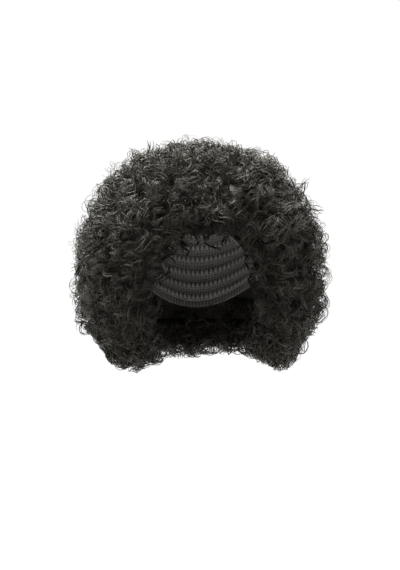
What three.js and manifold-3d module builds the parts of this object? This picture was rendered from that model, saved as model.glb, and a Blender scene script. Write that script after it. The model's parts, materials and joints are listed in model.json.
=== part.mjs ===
// A big round curly clown wig, in millimetres, +Z up, the face opening towards -Y.
// The origin is the crown point inside the cap, where the top of the head touches it.
// The wig is a stretch net cap, an elastic band at its rim, and nine rows of curly hair.

import * as THREE from 'three';
import { mergeVertices } from 'three/addons/utils/BufferGeometryUtils.js';
import Module from 'manifold-3d';

const wasm = await Module();
wasm.setup();

// Driving dimensions of the head hollow, measured from the middle of the head.
const headHeight = 85;
const headDrop = 118;
const headHalfWidth = 76;
const headFront = 97;
const headBack = 102;

// Driving dimensions of the hair, from the same middle out to the locks.
const hairHeight = 148;
const hairDrop = 132;
const hairHalfWidth = 162;
const hairFront = 150;
const hairBack = 178;

// Cap, band and the clearances between the pieces.
const capWall = 1.5;
const bandWidth = 10;
const bandWall = 2.4;
const bandGap = 0.3;
const seatGap = 0.5;
const rowGap = 0.4;

// Rim of the cap below the crown: over the forehead, over the ears and at the nape.
const rimForehead = 38;
const rimEar = 106;
const rimNape = 140;

// Window for the face: its top below the crown, its size, and how far it stops from the middle.
const windowTop = 50;
const windowHeight = 153;
const windowHalfWidth = 70;
const windowStop = 12;

// Curled locks: spacing round a row, and how far a lock stands proud of the backing.
const lockPitch = 39;
const lockReach = 24;

// Fineness of the faceted surfaces.
const capSteps = 26;
const capBands = 6;
const lockColumns = 4;

const blackHair = new THREE.MeshStandardMaterial({ color: 0x24221f, roughness: 0.5, metalness: 0 });
const capNet = new THREE.MeshStandardMaterial({ color: 0x191817, roughness: 0.85, metalness: 0 });
const elastic = new THREE.MeshStandardMaterial({ color: 0x121211, roughness: 0.8, metalness: 0 });

// Where one row of hair ends and the next begins, from the crown down: on the head hollow and
// on the hair's outer form. Each share is of the form's half width, front, back or height, and a
// rise below the middle is a share of its drop.
const headRings = [
  { side: 0.00, fore: 0.00, aft: 0.00, rise: 1.00 },
  { side: 0.36, fore: 0.34, aft: 0.34, rise: 0.94 },
  { side: 0.64, fore: 0.62, aft: 0.62, rise: 0.80 },
  { side: 0.84, fore: 0.82, aft: 0.82, rise: 0.58 },
  { side: 0.96, fore: 0.94, aft: 0.95, rise: 0.31 },
  { side: 1.00, fore: 1.00, aft: 1.00, rise: 0.03 },
  { side: 0.98, fore: 1.00, aft: 0.98, rise: -0.20 },
  { side: 0.93, fore: 0.99, aft: 0.91, rise: -0.40 },
  { side: 0.90, fore: 0.97, aft: 0.82, rise: -0.62 },
  { side: 0.88, fore: 0.95, aft: 0.73, rise: -1.00 },
];
const hairRings = [
  { side: 0.00, fore: 0.00, aft: 0.00, rise: 1.00 },
  { side: 0.27, fore: 0.29, aft: 0.27, rise: 0.98 },
  { side: 0.52, fore: 0.56, aft: 0.52, rise: 0.87 },
  { side: 0.73, fore: 0.78, aft: 0.73, rise: 0.69 },
  { side: 0.88, fore: 0.93, aft: 0.88, rise: 0.44 },
  { side: 0.98, fore: 1.00, aft: 0.98, rise: 0.16 },
  { side: 1.00, fore: 0.98, aft: 1.00, rise: -0.16 },
  { side: 0.97, fore: 0.92, aft: 0.97, rise: -0.48 },
  { side: 0.87, fore: 0.81, aft: 0.87, rise: -0.78 },
  { side: 0.70, fore: 0.66, aft: 0.70, rise: -1.00 },
];
const rowCount = headRings.length - 1;

// Half of the window's outline, as shares of its half width and height, from the top down.
const windowOutline = [
  { half: 0.22, drop: 0.01 },
  { half: 0.43, drop: 0.06 },
  { half: 0.71, drop: 0.18 },
  { half: 0.86, drop: 0.30 },
  { half: 0.94, drop: 0.43 },
  { half: 1.00, drop: 0.59 },
  { half: 0.97, drop: 0.74 },
  { half: 0.94, drop: 0.91 },
  { half: 0.89, drop: 1.00 },
  { half: 0.89, drop: 1.50 },
];

// Lower edge of the hair across the front view, with a lobe beside each cheek: shares of the
// hair's half width and drop.
const lowerEdge = [
  { side: -0.86, drop: 0.71 },
  { side: -0.72, drop: 0.97 },
  { side: -0.56, drop: 1.08 },
  { side: -0.37, drop: 0.98 },
  { side: 0.37, drop: 0.93 },
  { side: 0.52, drop: 0.98 },
  { side: 0.63, drop: 1.10 },
  { side: 0.72, drop: 1.02 },
  { side: 0.86, drop: 0.72 },
];

// Section of a lock from its root over its crest to its tip, on the crest and in the valley
// beside it. A level is a share of the row's height and a reach a share of the lock's reach;
// the flank says how full the lock still is halfway between the two.
const lockSection = [
  { crestLevel: 0.56, crestReach: 0.62, valleyLevel: 0.40, valleyReach: 0.22, flank: 0.80 },
  { crestLevel: 0.92, crestReach: 1.00, valleyLevel: 0.72, valleyReach: 0.40, flank: 0.76 },
  { crestLevel: 1.26, crestReach: 0.96, valleyLevel: 0.98, valleyReach: 0.40, flank: 0.66 },
  { crestLevel: 1.40, crestReach: 0.58, valleyLevel: 1.09, valleyReach: 0.14, flank: 0.45 },
];

// How far a lock's tip sways along its row, as a share of the spacing, and how many locks one
// wave of the sway takes.
const lockSway = 0.3;
const swayLocks = 4;

const middle = new THREE.Vector3(0, 0, -headHeight);

/** Turn from the face at a share of the way round. */
function turnAt(share) {
  return share * 2 * Math.PI;
}

/** Reads a column of a ring table at a level, in a straight line past its last row. */
function ringShare(rings, column, level) {
  const low = Math.min(Math.floor(level), rings.length - 2);
  return THREE.MathUtils.lerp(rings[low][column], rings[low + 1][column], level - low);
}

/** A point at a turn from the face and a level of a ring table. */
function formPoint(rings, sizes, turn, level) {
  const ahead = Math.cos(turn) > 0;
  const reach = ahead ? sizes.front * ringShare(rings, 'fore', level) : sizes.back * ringShare(rings, 'aft', level);
  const side = sizes.halfWidth * ringShare(rings, 'side', level);
  const rise = ringShare(rings, 'rise', level);
  const height = rise > 0 ? rise * sizes.height : rise * sizes.drop;
  return new THREE.Vector3(side * Math.sin(turn), -reach * Math.cos(turn), height).add(middle);
}

/** A point of the head hollow, pushed out by an offset. */
function headPoint(turn, level, offset) {
  const sizes = {
    halfWidth: headHalfWidth + offset,
    front: headFront + offset,
    back: headBack + offset,
    height: headHeight + offset,
    drop: headDrop,
  };
  return formPoint(headRings, sizes, turn, level);
}

/** A point of the hair's outer form, drawn in by an inset. */
function hairPoint(turn, level, inset) {
  const sizes = {
    halfWidth: hairHalfWidth - inset,
    front: hairFront - inset,
    back: hairBack - inset,
    height: hairHeight - inset,
    drop: hairDrop,
  };
  return formPoint(hairRings, sizes, turn, level);
}

/** Level of the cap's rim in the ring table at a turn from the face. */
function rimLevel(turn) {
  const end = Math.cos(turn) > 0 ? rimForehead : rimNape;
  const drop = THREE.MathUtils.lerp(end, rimEar, Math.sin(turn) ** 2);
  const heights = headRings.map((_, level) => headPoint(turn, level, 0).z);
  const below = heights.findIndex((height) => height < -drop);
  const low = (below < 0 ? heights.length : below) - 1;
  return below < 0 ? low : low + (heights[low] + drop) / (heights[low] - heights[below]);
}

/** Collects points and faces of one closed surface. */
class Surface {
  constructor() {
    this.positions = [];
    this.faces = [];
  }

  point(vector) {
    this.positions.push(vector.x, vector.y, vector.z);
    return this.positions.length / 3 - 1;
  }

  triangle(a, b, c) {
    this.faces.push(a, b, c);
  }

  quad(a, b, c, d) {
    this.triangle(a, b, c);
    this.triangle(a, c, d);
  }

  /** How far a point lies from the middle of the head. */
  reach(index) {
    return new THREE.Vector3().fromArray(this.positions, index * 3).distanceTo(middle);
  }

  /** Joins two neighbouring sections by quads, all split from their outer corner alike. */
  join(loop, next, count) {
    for (let index = 0; index < count; index += 1) {
      const after = (index + 1) % loop.length;
      if (this.reach(loop[index]) > this.reach(loop[after])) {
        this.quad(loop[index], loop[after], next[after], next[index]);
      } else {
        this.quad(loop[after], next[after], next[index], loop[index]);
      }
    }
  }

  geometry() {
    const geometry = new THREE.BufferGeometry();
    geometry.setAttribute('position', new THREE.Float32BufferAttribute(this.positions, 3));
    geometry.setIndex(this.faces);
    return geometry;
  }
}

/** Sweeps a closed section round the wig; section(share) gives its corners. */
function sweptRing(section, steps) {
  const surface = new Surface();
  const loops = Array.from({ length: steps }, (_, step) => (
    section(step / steps).map((corner) => surface.point(corner))
  ));
  loops.forEach((loop, step) => surface.join(loop, loops[(step + 1) % steps], loop.length));
  return surface.geometry();
}

/** Sweeps a section that runs from the outer crown to the inner crown, both on the axis. */
function sweptDome(section, steps) {
  const surface = new Surface();
  const crown = section(0);
  const outerTop = surface.point(crown[0]);
  const innerTop = surface.point(crown[crown.length - 1]);
  const loops = Array.from({ length: steps }, (_, step) => (
    section(step / steps).slice(1, -1).map((corner) => surface.point(corner))
  ));
  loops.forEach((loop, step) => {
    const next = loops[(step + 1) % steps];
    surface.triangle(outerTop, loop[0], next[0]);
    surface.join(loop, next, loop.length - 1);
    surface.triangle(innerTop, next[loop.length - 1], loop[loop.length - 1]);
  });
  return surface.geometry();
}

/** Turns a closed geometry into a solid for cutting. */
function solidOf(geometry) {
  const bare = geometry.clone();
  bare.deleteAttribute('normal');
  bare.deleteAttribute('uv');
  const merged = mergeVertices(bare);
  return new wasm.Manifold(new wasm.Mesh({
    numProp: 3,
    vertProperties: new Float32Array(merged.attributes.position.array),
    triVerts: new Uint32Array(merged.index.array),
  }));
}

/** Turns a solid back into a geometry. */
function geometryOf(solid) {
  const mesh = solid.getMesh();
  const geometry = new THREE.BufferGeometry();
  geometry.setAttribute('position', new THREE.Float32BufferAttribute(mesh.vertProperties, 3));
  geometry.setIndex(new THREE.Uint32BufferAttribute(mesh.triVerts, 1));
  return geometry;
}

/** The stretch net cap: a thin shell from the crown to its rim. */
function capGeometry() {
  return sweptDome((share) => {
    const turn = turnAt(share);
    const levels = Array.from({ length: capBands + 1 }, (_, band) => (rimLevel(turn) * band) / capBands);
    const outer = levels.map((level) => headPoint(turn, level, capWall));
    const inner = levels.map((level) => headPoint(turn, level, 0));
    return [...outer, ...inner.reverse()];
  }, capSteps);
}

/** The elastic band that carries on from the cap's rim. */
function bandGeometry() {
  return sweptRing((share) => {
    const turn = turnAt(share);
    const rim = rimLevel(turn);
    const levelLength = headPoint(turn, rim, 0).distanceTo(headPoint(turn, rim + 1, 0));
    const top = rim + bandGap / levelLength;
    const foot = top + bandWidth / levelLength;
    return [
      headPoint(turn, top, capWall),
      headPoint(turn, foot, capWall),
      headPoint(turn, foot, capWall - bandWall),
      headPoint(turn, top, capWall - bandWall),
    ];
  }, capSteps);
}

/** How full a lock is at a column of it: on the crest, on a flank or in the valley. */
function fullness(column, flank) {
  if (column % lockColumns === 0) {
    return 0;
  }
  return (column % lockColumns) * 2 === lockColumns ? 1 : flank;
}

/** One row of hair, swept right round: its backing and the locks that hang over the next row. */
function rowGeometry(row) {
  const trim = rowGap / headPoint(0, row, 0).distanceTo(headPoint(0, row + 1, 0));
  const top = row === 0 ? 0 : row + trim / 2;
  const foot = row + 1 - trim / 2;
  const seat = capWall + seatGap;
  const girth = 2 * Math.PI * hairPoint(Math.PI / 2, row + 0.5, 0).x;
  const locks = Math.max(4, Math.round(girth / lockPitch));
  const steps = locks * lockColumns;
  const stagger = (row % 2) / 2 / locks;
  const waves = Math.max(1, Math.round(locks / swayLocks));
  const section = (share) => {
    const column = Math.round(share * steps);
    const turn = turnAt(share + stagger);
    const sway = Math.sin(turnAt(share * waves) + row) * (lockSway / locks);
    const hanging = lockSection.map((spot, index) => {
      const full = fullness(column, spot.flank);
      const level = THREE.MathUtils.lerp(spot.valleyLevel, spot.crestLevel, full);
      const reach = THREE.MathUtils.lerp(spot.valleyReach, spot.crestReach, full);
      const swing = turnAt((sway * (index + 1)) / lockSection.length);
      return hairPoint(turn + swing, top + (foot - top) * level, lockReach * (1 - reach));
    });
    const root = row === 0 ? [hairPoint(turn, top, 0), ...hanging.slice(1)] : [
      hairPoint(turn, top, lockReach),
      ...hanging,
    ];
    return [
      ...root,
      hairPoint(turn, foot, lockReach),
      headPoint(turn, foot, seat),
      headPoint(turn, top, seat),
    ];
  };
  return row === 0 ? sweptDome(section, steps) : sweptRing(section, steps);
}

/** The face window: its outline carried straight back from in front of the hair. */
function windowSolid() {
  const right = windowOutline.map(({ half, drop }) => (
    new THREE.Vector2(half * windowHalfWidth, -windowTop - drop * windowHeight)
  ));
  const left = right.map(({ x, y }) => new THREE.Vector2(-x, y)).reverse();
  const geometry = new THREE.ExtrudeGeometry(new THREE.Shape([...right, ...left]), {
    depth: 2 * hairFront - windowStop,
    bevelEnabled: false,
  });
  geometry.rotateX(Math.PI / 2);
  geometry.translate(0, -windowStop, 0);
  return solidOf(geometry);
}

/** What lies below the lower edge: its outline carried from the face side to the nape side. */
function underneathSolid() {
  const edge = lowerEdge.map(({ side, drop }) => (
    new THREE.Vector2(side * hairHalfWidth, middle.z - drop * hairDrop)
  ));
  const depth = 2 * (hairFront + hairBack);
  const below = [edge[edge.length - 1], edge[0]].map(({ x, y }) => new THREE.Vector2(2 * x, y - hairDrop));
  const geometry = new THREE.ExtrudeGeometry(new THREE.Shape([...edge, ...below]), {
    depth,
    bevelEnabled: false,
  });
  geometry.rotateX(Math.PI / 2);
  geometry.translate(0, 2 * hairBack, 0);
  return solidOf(geometry);
}

const wig = new THREE.Group();

/** Puts a named mesh into the wig. */
function place(name, geometry, material) {
  geometry.computeVertexNormals();
  const mesh = new THREE.Mesh(geometry, material);
  mesh.name = name;
  wig.add(mesh);
}

const faceWindow = windowSolid();
const underneath = underneathSolid();
place('cap', capGeometry(), capNet);
place('edge_band', bandGeometry(), elastic);
for (let row = 0; row < rowCount; row += 1) {
  const hair = solidOf(rowGeometry(row)).subtract(faceWindow).subtract(underneath);
  place(`weft_row_${row + 1}`, geometryOf(hair), blackHair);
}

export default wig;
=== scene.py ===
"""Looks of the curly clown wig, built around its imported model.

The wig is a stretch net cap with an elastic edge, and nine rows of curly hair sewn round it.
Every length is in metres, in the model's own frame: the origin is the crown point inside the
cap, +Z is up, and the face opening looks towards -Y.
"""

from __future__ import annotations

import json
import logging
import math
import sys
from collections.abc import Callable
from dataclasses import dataclass, field, replace
from enum import Enum

import bmesh
import bpy
import numpy as np
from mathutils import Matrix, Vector

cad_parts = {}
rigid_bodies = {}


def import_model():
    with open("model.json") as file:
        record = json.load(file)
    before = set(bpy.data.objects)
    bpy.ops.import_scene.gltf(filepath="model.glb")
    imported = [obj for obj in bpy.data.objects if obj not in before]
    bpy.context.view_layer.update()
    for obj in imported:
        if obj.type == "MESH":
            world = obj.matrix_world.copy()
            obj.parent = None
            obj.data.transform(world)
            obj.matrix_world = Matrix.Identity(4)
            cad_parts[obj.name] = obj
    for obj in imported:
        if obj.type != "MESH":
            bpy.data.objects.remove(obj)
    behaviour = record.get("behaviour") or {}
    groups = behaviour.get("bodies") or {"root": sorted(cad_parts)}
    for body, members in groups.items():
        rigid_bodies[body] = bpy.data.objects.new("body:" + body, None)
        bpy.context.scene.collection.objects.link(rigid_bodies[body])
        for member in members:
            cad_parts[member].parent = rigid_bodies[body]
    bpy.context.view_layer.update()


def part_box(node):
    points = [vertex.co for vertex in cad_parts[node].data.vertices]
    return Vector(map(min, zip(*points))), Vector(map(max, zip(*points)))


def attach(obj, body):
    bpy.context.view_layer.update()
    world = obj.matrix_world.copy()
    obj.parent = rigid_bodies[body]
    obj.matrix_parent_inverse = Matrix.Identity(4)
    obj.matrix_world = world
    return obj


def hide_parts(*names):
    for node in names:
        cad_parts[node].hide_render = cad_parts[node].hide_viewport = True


log = logging.getLogger("wig")

BODY = "root"
BAKE_UV = "OFBake"
ROW_COUNT = 9
FULL_TURN = 2.0 * math.pi
HAIR_FRONT = 0.150
HEAD_FRONT = 0.097
HEAD_HEIGHT = 0.085
CAP_WALL = 0.0015
LOCK_HANG = 0.005
HEIGHT_SAMPLES = 400
SHORTEST = 1e-12
DOWN = np.array([0.0, 0.0, -1.0])

# Shares of the half width, front, back and height of a form at the rings between the rows. A
# height below zero is a share of the form's drop.
HEAD_RINGS = np.array(
    [
        [0.00, 0.00, 0.00, 1.00],
        [0.36, 0.34, 0.34, 0.94],
        [0.64, 0.62, 0.62, 0.80],
        [0.84, 0.82, 0.82, 0.58],
        [0.96, 0.94, 0.95, 0.31],
        [1.00, 1.00, 1.00, 0.03],
        [0.98, 1.00, 0.98, -0.20],
        [0.93, 0.99, 0.91, -0.40],
        [0.90, 0.97, 0.82, -0.62],
        [0.88, 0.95, 0.73, -1.00],
    ]
)
HAIR_RINGS = np.array(
    [
        [0.00, 0.00, 0.00, 1.00],
        [0.27, 0.29, 0.27, 0.98],
        [0.52, 0.56, 0.52, 0.87],
        [0.73, 0.78, 0.73, 0.69],
        [0.88, 0.93, 0.88, 0.44],
        [0.98, 1.00, 0.98, 0.16],
        [1.00, 0.98, 1.00, -0.16],
        [0.97, 0.92, 0.97, -0.48],
        [0.87, 0.81, 0.87, -0.78],
        [0.70, 0.66, 0.70, -1.00],
    ]
)

# Half of the face window's outline, as shares of its half width and height, from the top down.
WINDOW_OUTLINE = np.array(
    [
        [0.00, 0.00],
        [0.43, 0.06],
        [0.71, 0.18],
        [0.86, 0.30],
        [0.94, 0.43],
        [1.00, 0.59],
        [0.97, 0.74],
        [0.94, 0.91],
        [0.89, 1.00],
        [0.89, 1.50],
    ]
)

# Lower edge of the hair across the front view, with a lobe at each side of the face window:
# shares of the hair's half width and of the edge's drop.
LOWER_EDGE = np.array(
    [
        [-0.86, 0.71],
        [-0.72, 0.97],
        [-0.56, 1.08],
        [-0.37, 0.98],
        [0.37, 0.93],
        [0.52, 0.98],
        [0.63, 1.10],
        [0.72, 1.02],
        [0.86, 0.72],
    ]
)

# Places beyond the front view's outline that the tips of standing wisps reach: x and z.
WISP_TIPS = np.array(
    [
        [-0.091, 0.054],
        [-0.067, 0.070],
        [-0.004, 0.072],
        [0.072, 0.058],
        [0.114, 0.034],
        [0.137, 0.014],
        [0.158, -0.020],
        [-0.131, 0.006],
    ]
)


class Slot(Enum):
    """Material slots of the record."""

    HAIR = "hair"
    CAP_NET = "cap_net"
    ELASTIC = "elastic"


class HairMaterial(Enum):
    """Numbers of the materials on each row of hair: the lit fibre, the tangle under the curls, dark with
    painted shade, and the shaded fibre, a darker copy of the lit one with painted shade.
    """

    LIT = 0
    TANGLE = 1
    SHADED = 2


def unit(vectors: np.ndarray) -> np.ndarray:
    """Scales each row to length one."""
    return vectors / np.maximum(np.linalg.norm(vectors, axis=-1, keepdims=True), SHORTEST)


def smooth_column(table: np.ndarray, column: int, level: np.ndarray) -> np.ndarray:
    """Reads a column of a table at fractional rows, along a smooth curve.

    Args:
        table: Rows of shares.
        column: Index of the column.
        level: Fractional row numbers; past the ends the curve runs on straight.

    Returns:
        The column's value at each level.
    """
    values = table[:, column]
    slopes = np.gradient(values)
    low = np.clip(np.floor(level).astype(int), 0, len(values) - 2)
    share = level - low
    inside = np.clip(share, 0.0, 1.0)
    square, cube = inside**2, inside**3
    curve = (
        (2 * cube - 3 * square + 1) * values[low]
        + (cube - 2 * square + inside) * slopes[low]
        + (3 * square - 2 * cube) * values[low + 1]
        + (cube - square) * slopes[low + 1]
    )
    return curve + np.where(share > 1.0, (share - 1.0) * slopes[low + 1], 0.0)


def turn_outward(mesh: bpy.types.Mesh) -> None:
    """Makes the faces of a closed mesh point outwards.

    Args:
        mesh: The mesh, which is changed in place.
    """
    body = bmesh.new()
    body.from_mesh(mesh)
    bmesh.ops.recalc_face_normals(body, faces=body.faces)
    body.to_mesh(mesh)
    body.free()


def add_object(name: str, data: bpy.types.ID) -> bpy.types.Object:
    """Makes an object and links it to the scene.

    Args:
        name: Name of the object.
        data: Its mesh, light or camera.

    Returns:
        The object.
    """
    thing = bpy.data.objects.new(name, data)
    bpy.context.scene.collection.objects.link(thing)
    return thing


def ring_faces(steps: int, loops: int, closed: bool) -> tuple[np.ndarray, np.ndarray, np.ndarray]:
    """Four-sided faces between loops of points that go round an axis.

    Args:
        steps: Number of points in each loop.
        loops: Number of loops.
        closed: Whether the last loop joins the first.

    Returns:
        The faces, the number of each point and the number of the next one round its loop, all
        by step and loop.
    """
    index = np.arange(steps * loops).reshape(steps, loops)
    after = np.roll(index, -1, axis=0)
    if closed:
        corners = [index, np.roll(index, -1, axis=1), np.roll(after, -1, axis=1), after]
    else:
        corners = [index[:, :-1], index[:, 1:], after[:, 1:], after[:, :-1]]
    return np.stack(corners, axis=-1), index, after


def corner_map(near: np.ndarray, far: np.ndarray, lower: np.ndarray, upper: np.ndarray) -> np.ndarray:
    """Map coordinates of the four corners of faces in a grid.

    Args:
        near: First coordinate of each face's near side.
        far: First coordinate of its far side.
        lower: Second coordinate of its lower side.
        upper: Second coordinate of its upper side.

    Returns:
        Four pairs of coordinates for each face.
    """
    near, far, lower, upper = np.broadcast_arrays(near, far, lower, upper)
    corners = [(near, lower), (near, upper), (far, upper), (far, lower)]
    return np.stack([np.stack(corner, -1) for corner in corners], axis=-2)


class SmoothNoise:
    """Soft random field in space, the sum of a few waves in fixed random directions."""

    LENGTH_SHARES = (0.7, 1.5)

    def __init__(self, seed: int, wavelength: float, waves: int = 9) -> None:
        """Draws the waves.

        Args:
            seed: Seed of the random draws.
            wavelength: Typical length of a wave in metres.
            waves: Number of waves.
        """
        draw = np.random.default_rng(seed)
        directions = unit(draw.normal(size=(waves, 3)))
        lengths = wavelength * draw.uniform(*self.LENGTH_SHARES, (waves, 1))
        self.vectors = directions * FULL_TURN / lengths
        self.phases = draw.uniform(0.0, FULL_TURN, waves)
        self.scale = math.sqrt(2.0 / waves)

    def at(self, points: np.ndarray) -> np.ndarray:
        """Value of the field, mostly between -1.5 and 1.5, at each point."""
        return np.sin(points @ self.vectors.T + self.phases).sum(axis=-1) * self.scale


@dataclass
class WigForm:
    """Smooth forms of the head hollow and of the hair round it."""

    half_width: float
    front: float
    back: float
    height: float
    drop: float
    head_half_width: float
    head_front: float
    head_back: float
    head_height: float
    head_drop: float = 0.118
    window_top: float = 0.050
    window_height: float = 0.153
    window_half_width: float = 0.070
    window_stop: float = 0.012
    rim_forehead: float = 0.038
    rim_ear: float = 0.106
    rim_nape: float = 0.140
    edge_drop: float = 0.132
    edge_hang: float = 0.0045
    edge_lift: float = 0.013
    stand_out: float = 0.009
    least_gap: float = 1e-6
    low: tuple[float, float, float] = (0.0, 0.0, 0.0)
    high: tuple[float, float, float] = (0.0, 0.0, 0.0)

    @classmethod
    def from_frame(cls) -> WigForm:
        """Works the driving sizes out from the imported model's boxes.

        Returns:
            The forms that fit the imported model.
        """
        boxes = [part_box(f"weft_row_{row + 1}") for row in range(ROW_COUNT)]
        low = [min(box[0][axis] for box in boxes) for axis in range(3)]
        high = [max(box[1][axis] for box in boxes) for axis in range(3)]
        cap_low, cap_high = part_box("cap")
        return cls(
            half_width=(high[0] - low[0]) / 2,
            front=HAIR_FRONT,
            back=high[1],
            height=high[2] + HEAD_HEIGHT,
            drop=-low[2] - HEAD_HEIGHT - LOCK_HANG,
            head_half_width=(cap_high[0] - cap_low[0]) / 2 - CAP_WALL,
            head_front=HEAD_FRONT,
            head_back=cap_high[1] - CAP_WALL,
            head_height=HEAD_HEIGHT,
            low=tuple(low),
            high=tuple(high),
        )

    @property
    def middle(self) -> np.ndarray:
        """Middle of the head hollow, straight below the crown point."""
        return np.array([0.0, 0.0, -self.head_height])

    def _place(
        self, table: np.ndarray, sizes: tuple[float, ...], turn: np.ndarray, level: np.ndarray
    ) -> np.ndarray:
        """Points of a form at turns from the face and levels of its ring table.

        Args:
            table: Ring table of the form.
            sizes: Its half width, front, back, height and drop.
            turn: Turns from the face side, in radians.
            level: Fractional row numbers of the table.

        Returns:
            A point for each turn and level.
        """
        half_width, front, back, height, drop = sizes
        side = half_width * smooth_column(table, 0, level)
        fore = front * smooth_column(table, 1, level)
        aft = back * smooth_column(table, 2, level)
        rise = smooth_column(table, 3, level)
        depth = np.where(np.cos(turn) > 0, fore, aft)
        z = np.where(rise > 0, rise * height, rise * drop) - self.head_height
        return np.stack([side * np.sin(turn), -depth * np.cos(turn), z], axis=-1)

    def outer(self, turn: np.ndarray, level: np.ndarray, inset: float = 0.0) -> np.ndarray:
        """Points of the hair's outer form, drawn in by an inset.

        Args:
            turn: Turns from the face side, in radians.
            level: Levels from the crown down.
            inset: Distance that the form is drawn in by.

        Returns:
            A point for each turn and level.
        """
        sizes = (
            self.half_width - inset,
            self.front - inset,
            self.back - inset,
            self.height - inset,
            self.drop,
        )
        return self._place(HAIR_RINGS, sizes, turn, level)

    def inner(self, turn: np.ndarray, level: np.ndarray, offset: float = 0.0) -> np.ndarray:
        """Points of the head hollow, pushed out by an offset.

        Args:
            turn: Turns from the face side, in radians.
            level: Levels from the crown down.
            offset: Distance that the form is pushed out by.

        Returns:
            A point for each turn and level.
        """
        sizes = (
            self.head_half_width + offset,
            self.head_front + offset,
            self.head_back + offset,
            self.head_height + offset,
            self.head_drop,
        )
        return self._place(HEAD_RINGS, sizes, turn, level)

    def rim_level(self, turn: np.ndarray) -> np.ndarray:
        """Level of the cap's rim in the ring table.

        Args:
            turn: Turns from the face side, in radians.

        Returns:
            A level for each turn.
        """
        end = np.where(np.cos(turn) > 0, self.rim_forehead, self.rim_nape)
        drop = end + (self.rim_ear - end) * np.sin(turn) ** 2
        levels = np.linspace(0.0, ROW_COUNT, HEIGHT_SAMPLES)
        heights = self.inner(np.zeros_like(levels), levels)[:, 2]
        return np.interp(drop, -heights, levels)

    def window_half(self, z: np.ndarray) -> np.ndarray:
        """Half of the face window's width.

        Args:
            z: Heights.

        Returns:
            The half width at each height, and -1 above the window's top.
        """
        drop = (-self.window_top - z) / self.window_height
        half = self.window_half_width * np.interp(drop, WINDOW_OUTLINE[:, 1], WINDOW_OUTLINE[:, 0])
        return np.where(drop < 0.0, -1.0, half)

    def in_window(self, points: np.ndarray, margin: float = 0.0) -> np.ndarray:
        """Which points lie in front of or inside the face window.

        Args:
            points: The points.
            margin: Distance that the window is grown by.

        Returns:
            A mask over the points.
        """
        half = self.window_half(points[:, 2] - margin)
        ahead = points[:, 1] < -self.window_stop
        return ahead & (half >= 0.0) & (np.abs(points[:, 0]) < half + margin)

    def from_window(self, points: np.ndarray) -> tuple[np.ndarray, np.ndarray]:
        """Distance from the face window's outline in the front view, and the way off from it.

        Args:
            points: Places outside the window.

        Returns:
            The distance of each place, and the direction from the outline to it.
        """
        right = WINDOW_OUTLINE * [self.window_half_width, -self.window_height]
        right = right - [0.0, self.window_top]
        starts = np.concatenate([right[:-1] * [-1.0, 1.0], right[:-1]])
        ends = np.concatenate([right[1:] * [-1.0, 1.0], right[1:]])
        flat = points[:, [0, 2]]
        run = ends - starts
        share = ((flat[:, None] - starts) * run).sum(-1) / (run**2).sum(-1)
        nearest = starts + run * np.clip(share, 0.0, 1.0)[..., None]
        gaps = flat[:, None] - nearest
        lengths = np.linalg.norm(gaps, axis=-1)
        best = lengths.argmin(axis=1)
        rows = np.arange(len(points))
        way = np.zeros_like(points)
        way[:, [0, 2]] = gaps[rows, best] / np.maximum(lengths[rows, best], self.least_gap)[:, None]
        return lengths[rows, best], way

    def lower_edge(self, x: np.ndarray) -> np.ndarray:
        """Height of the hair's lower edge across the front view."""
        drop = np.interp(x / self.half_width, LOWER_EDGE[:, 0], LOWER_EDGE[:, 1])
        return -self.head_height - drop * self.edge_drop

    def edge_level(self, turn: np.ndarray) -> np.ndarray:
        """Level at which the outer form meets the lower edge.

        Args:
            turn: Turns from the face side, in radians.

        Returns:
            A level for each turn.
        """
        turn_samples, level_samples, highest = 181, 251, 4.0
        turns = np.linspace(0.0, FULL_TURN, turn_samples)
        levels = np.linspace(highest, ROW_COUNT, level_samples)
        spots = self.outer(*np.meshgrid(turns, levels, indexing="ij"))
        above = spots[..., 2] > self.lower_edge(spots[..., 0])
        meets = levels[np.maximum(above.sum(axis=1) - 1, 0)]
        return np.interp(turn % FULL_TURN, turns, meets)

    def fit(self, curls: Curls) -> Curls:
        """Draws curls in where they would stand out too far or hang below the lower edge.

        Args:
            curls: The curls as they were wound.

        Returns:
            Those that need no more than a small lift, moved into place.
        """
        draw = np.random.default_rng(len(curls.paths))
        hang = self.edge_hang * draw.uniform(0.0, 1.0, (len(curls.paths), 1))
        edge = self.lower_edge(curls.paths[..., 0]) - hang
        lift = np.maximum((edge - curls.paths[..., 2]).max(axis=1), 0.0)
        kept = curls.keep(lift < self.edge_lift)
        kept.paths[..., 2] += lift[lift < self.edge_lift][:, None]
        low = np.array(self.low) - self.stand_out
        high = np.array(self.high) + self.stand_out
        kept.paths += np.maximum(low - kept.paths.min(axis=1), 0.0)[:, None]
        kept.paths -= np.maximum(kept.paths.max(axis=1) - high, 0.0)[:, None]
        return kept

    def front_depth(self, table: np.ndarray, x: np.ndarray, z: np.ndarray) -> np.ndarray:
        """How far a form reaches towards the face side at places of the front view.

        Args:
            table: HAIR_RINGS for the hair's outer form, or HEAD_RINGS for the head hollow.
            x: Places from left to right.
            z: Their heights.

        Returns:
            The distance in front of the axis at each place.
        """
        hair = table is HAIR_RINGS
        form = self.outer if hair else self.inner
        levels = np.linspace(0.0, ROW_COUNT, HEIGHT_SAMPLES)
        heights = form(np.zeros_like(levels), levels)[:, 2]
        level = np.interp(-z, -heights, levels)
        side = (self.half_width if hair else self.head_half_width) * smooth_column(table, 0, level)
        fore = (self.front if hair else self.head_front) * smooth_column(table, 1, level)
        return fore * np.sqrt(np.clip(1.0 - (x / side) ** 2, 0.0, 1.0))


@dataclass
class Patch:
    """Places on the hair's surface where curls stand."""

    points: np.ndarray
    normals: np.ndarray
    levels: np.ndarray

    def keep(self, mask: np.ndarray) -> Patch:
        """The places that a mask selects."""
        return Patch(self.points[mask], self.normals[mask], self.levels[mask])


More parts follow.
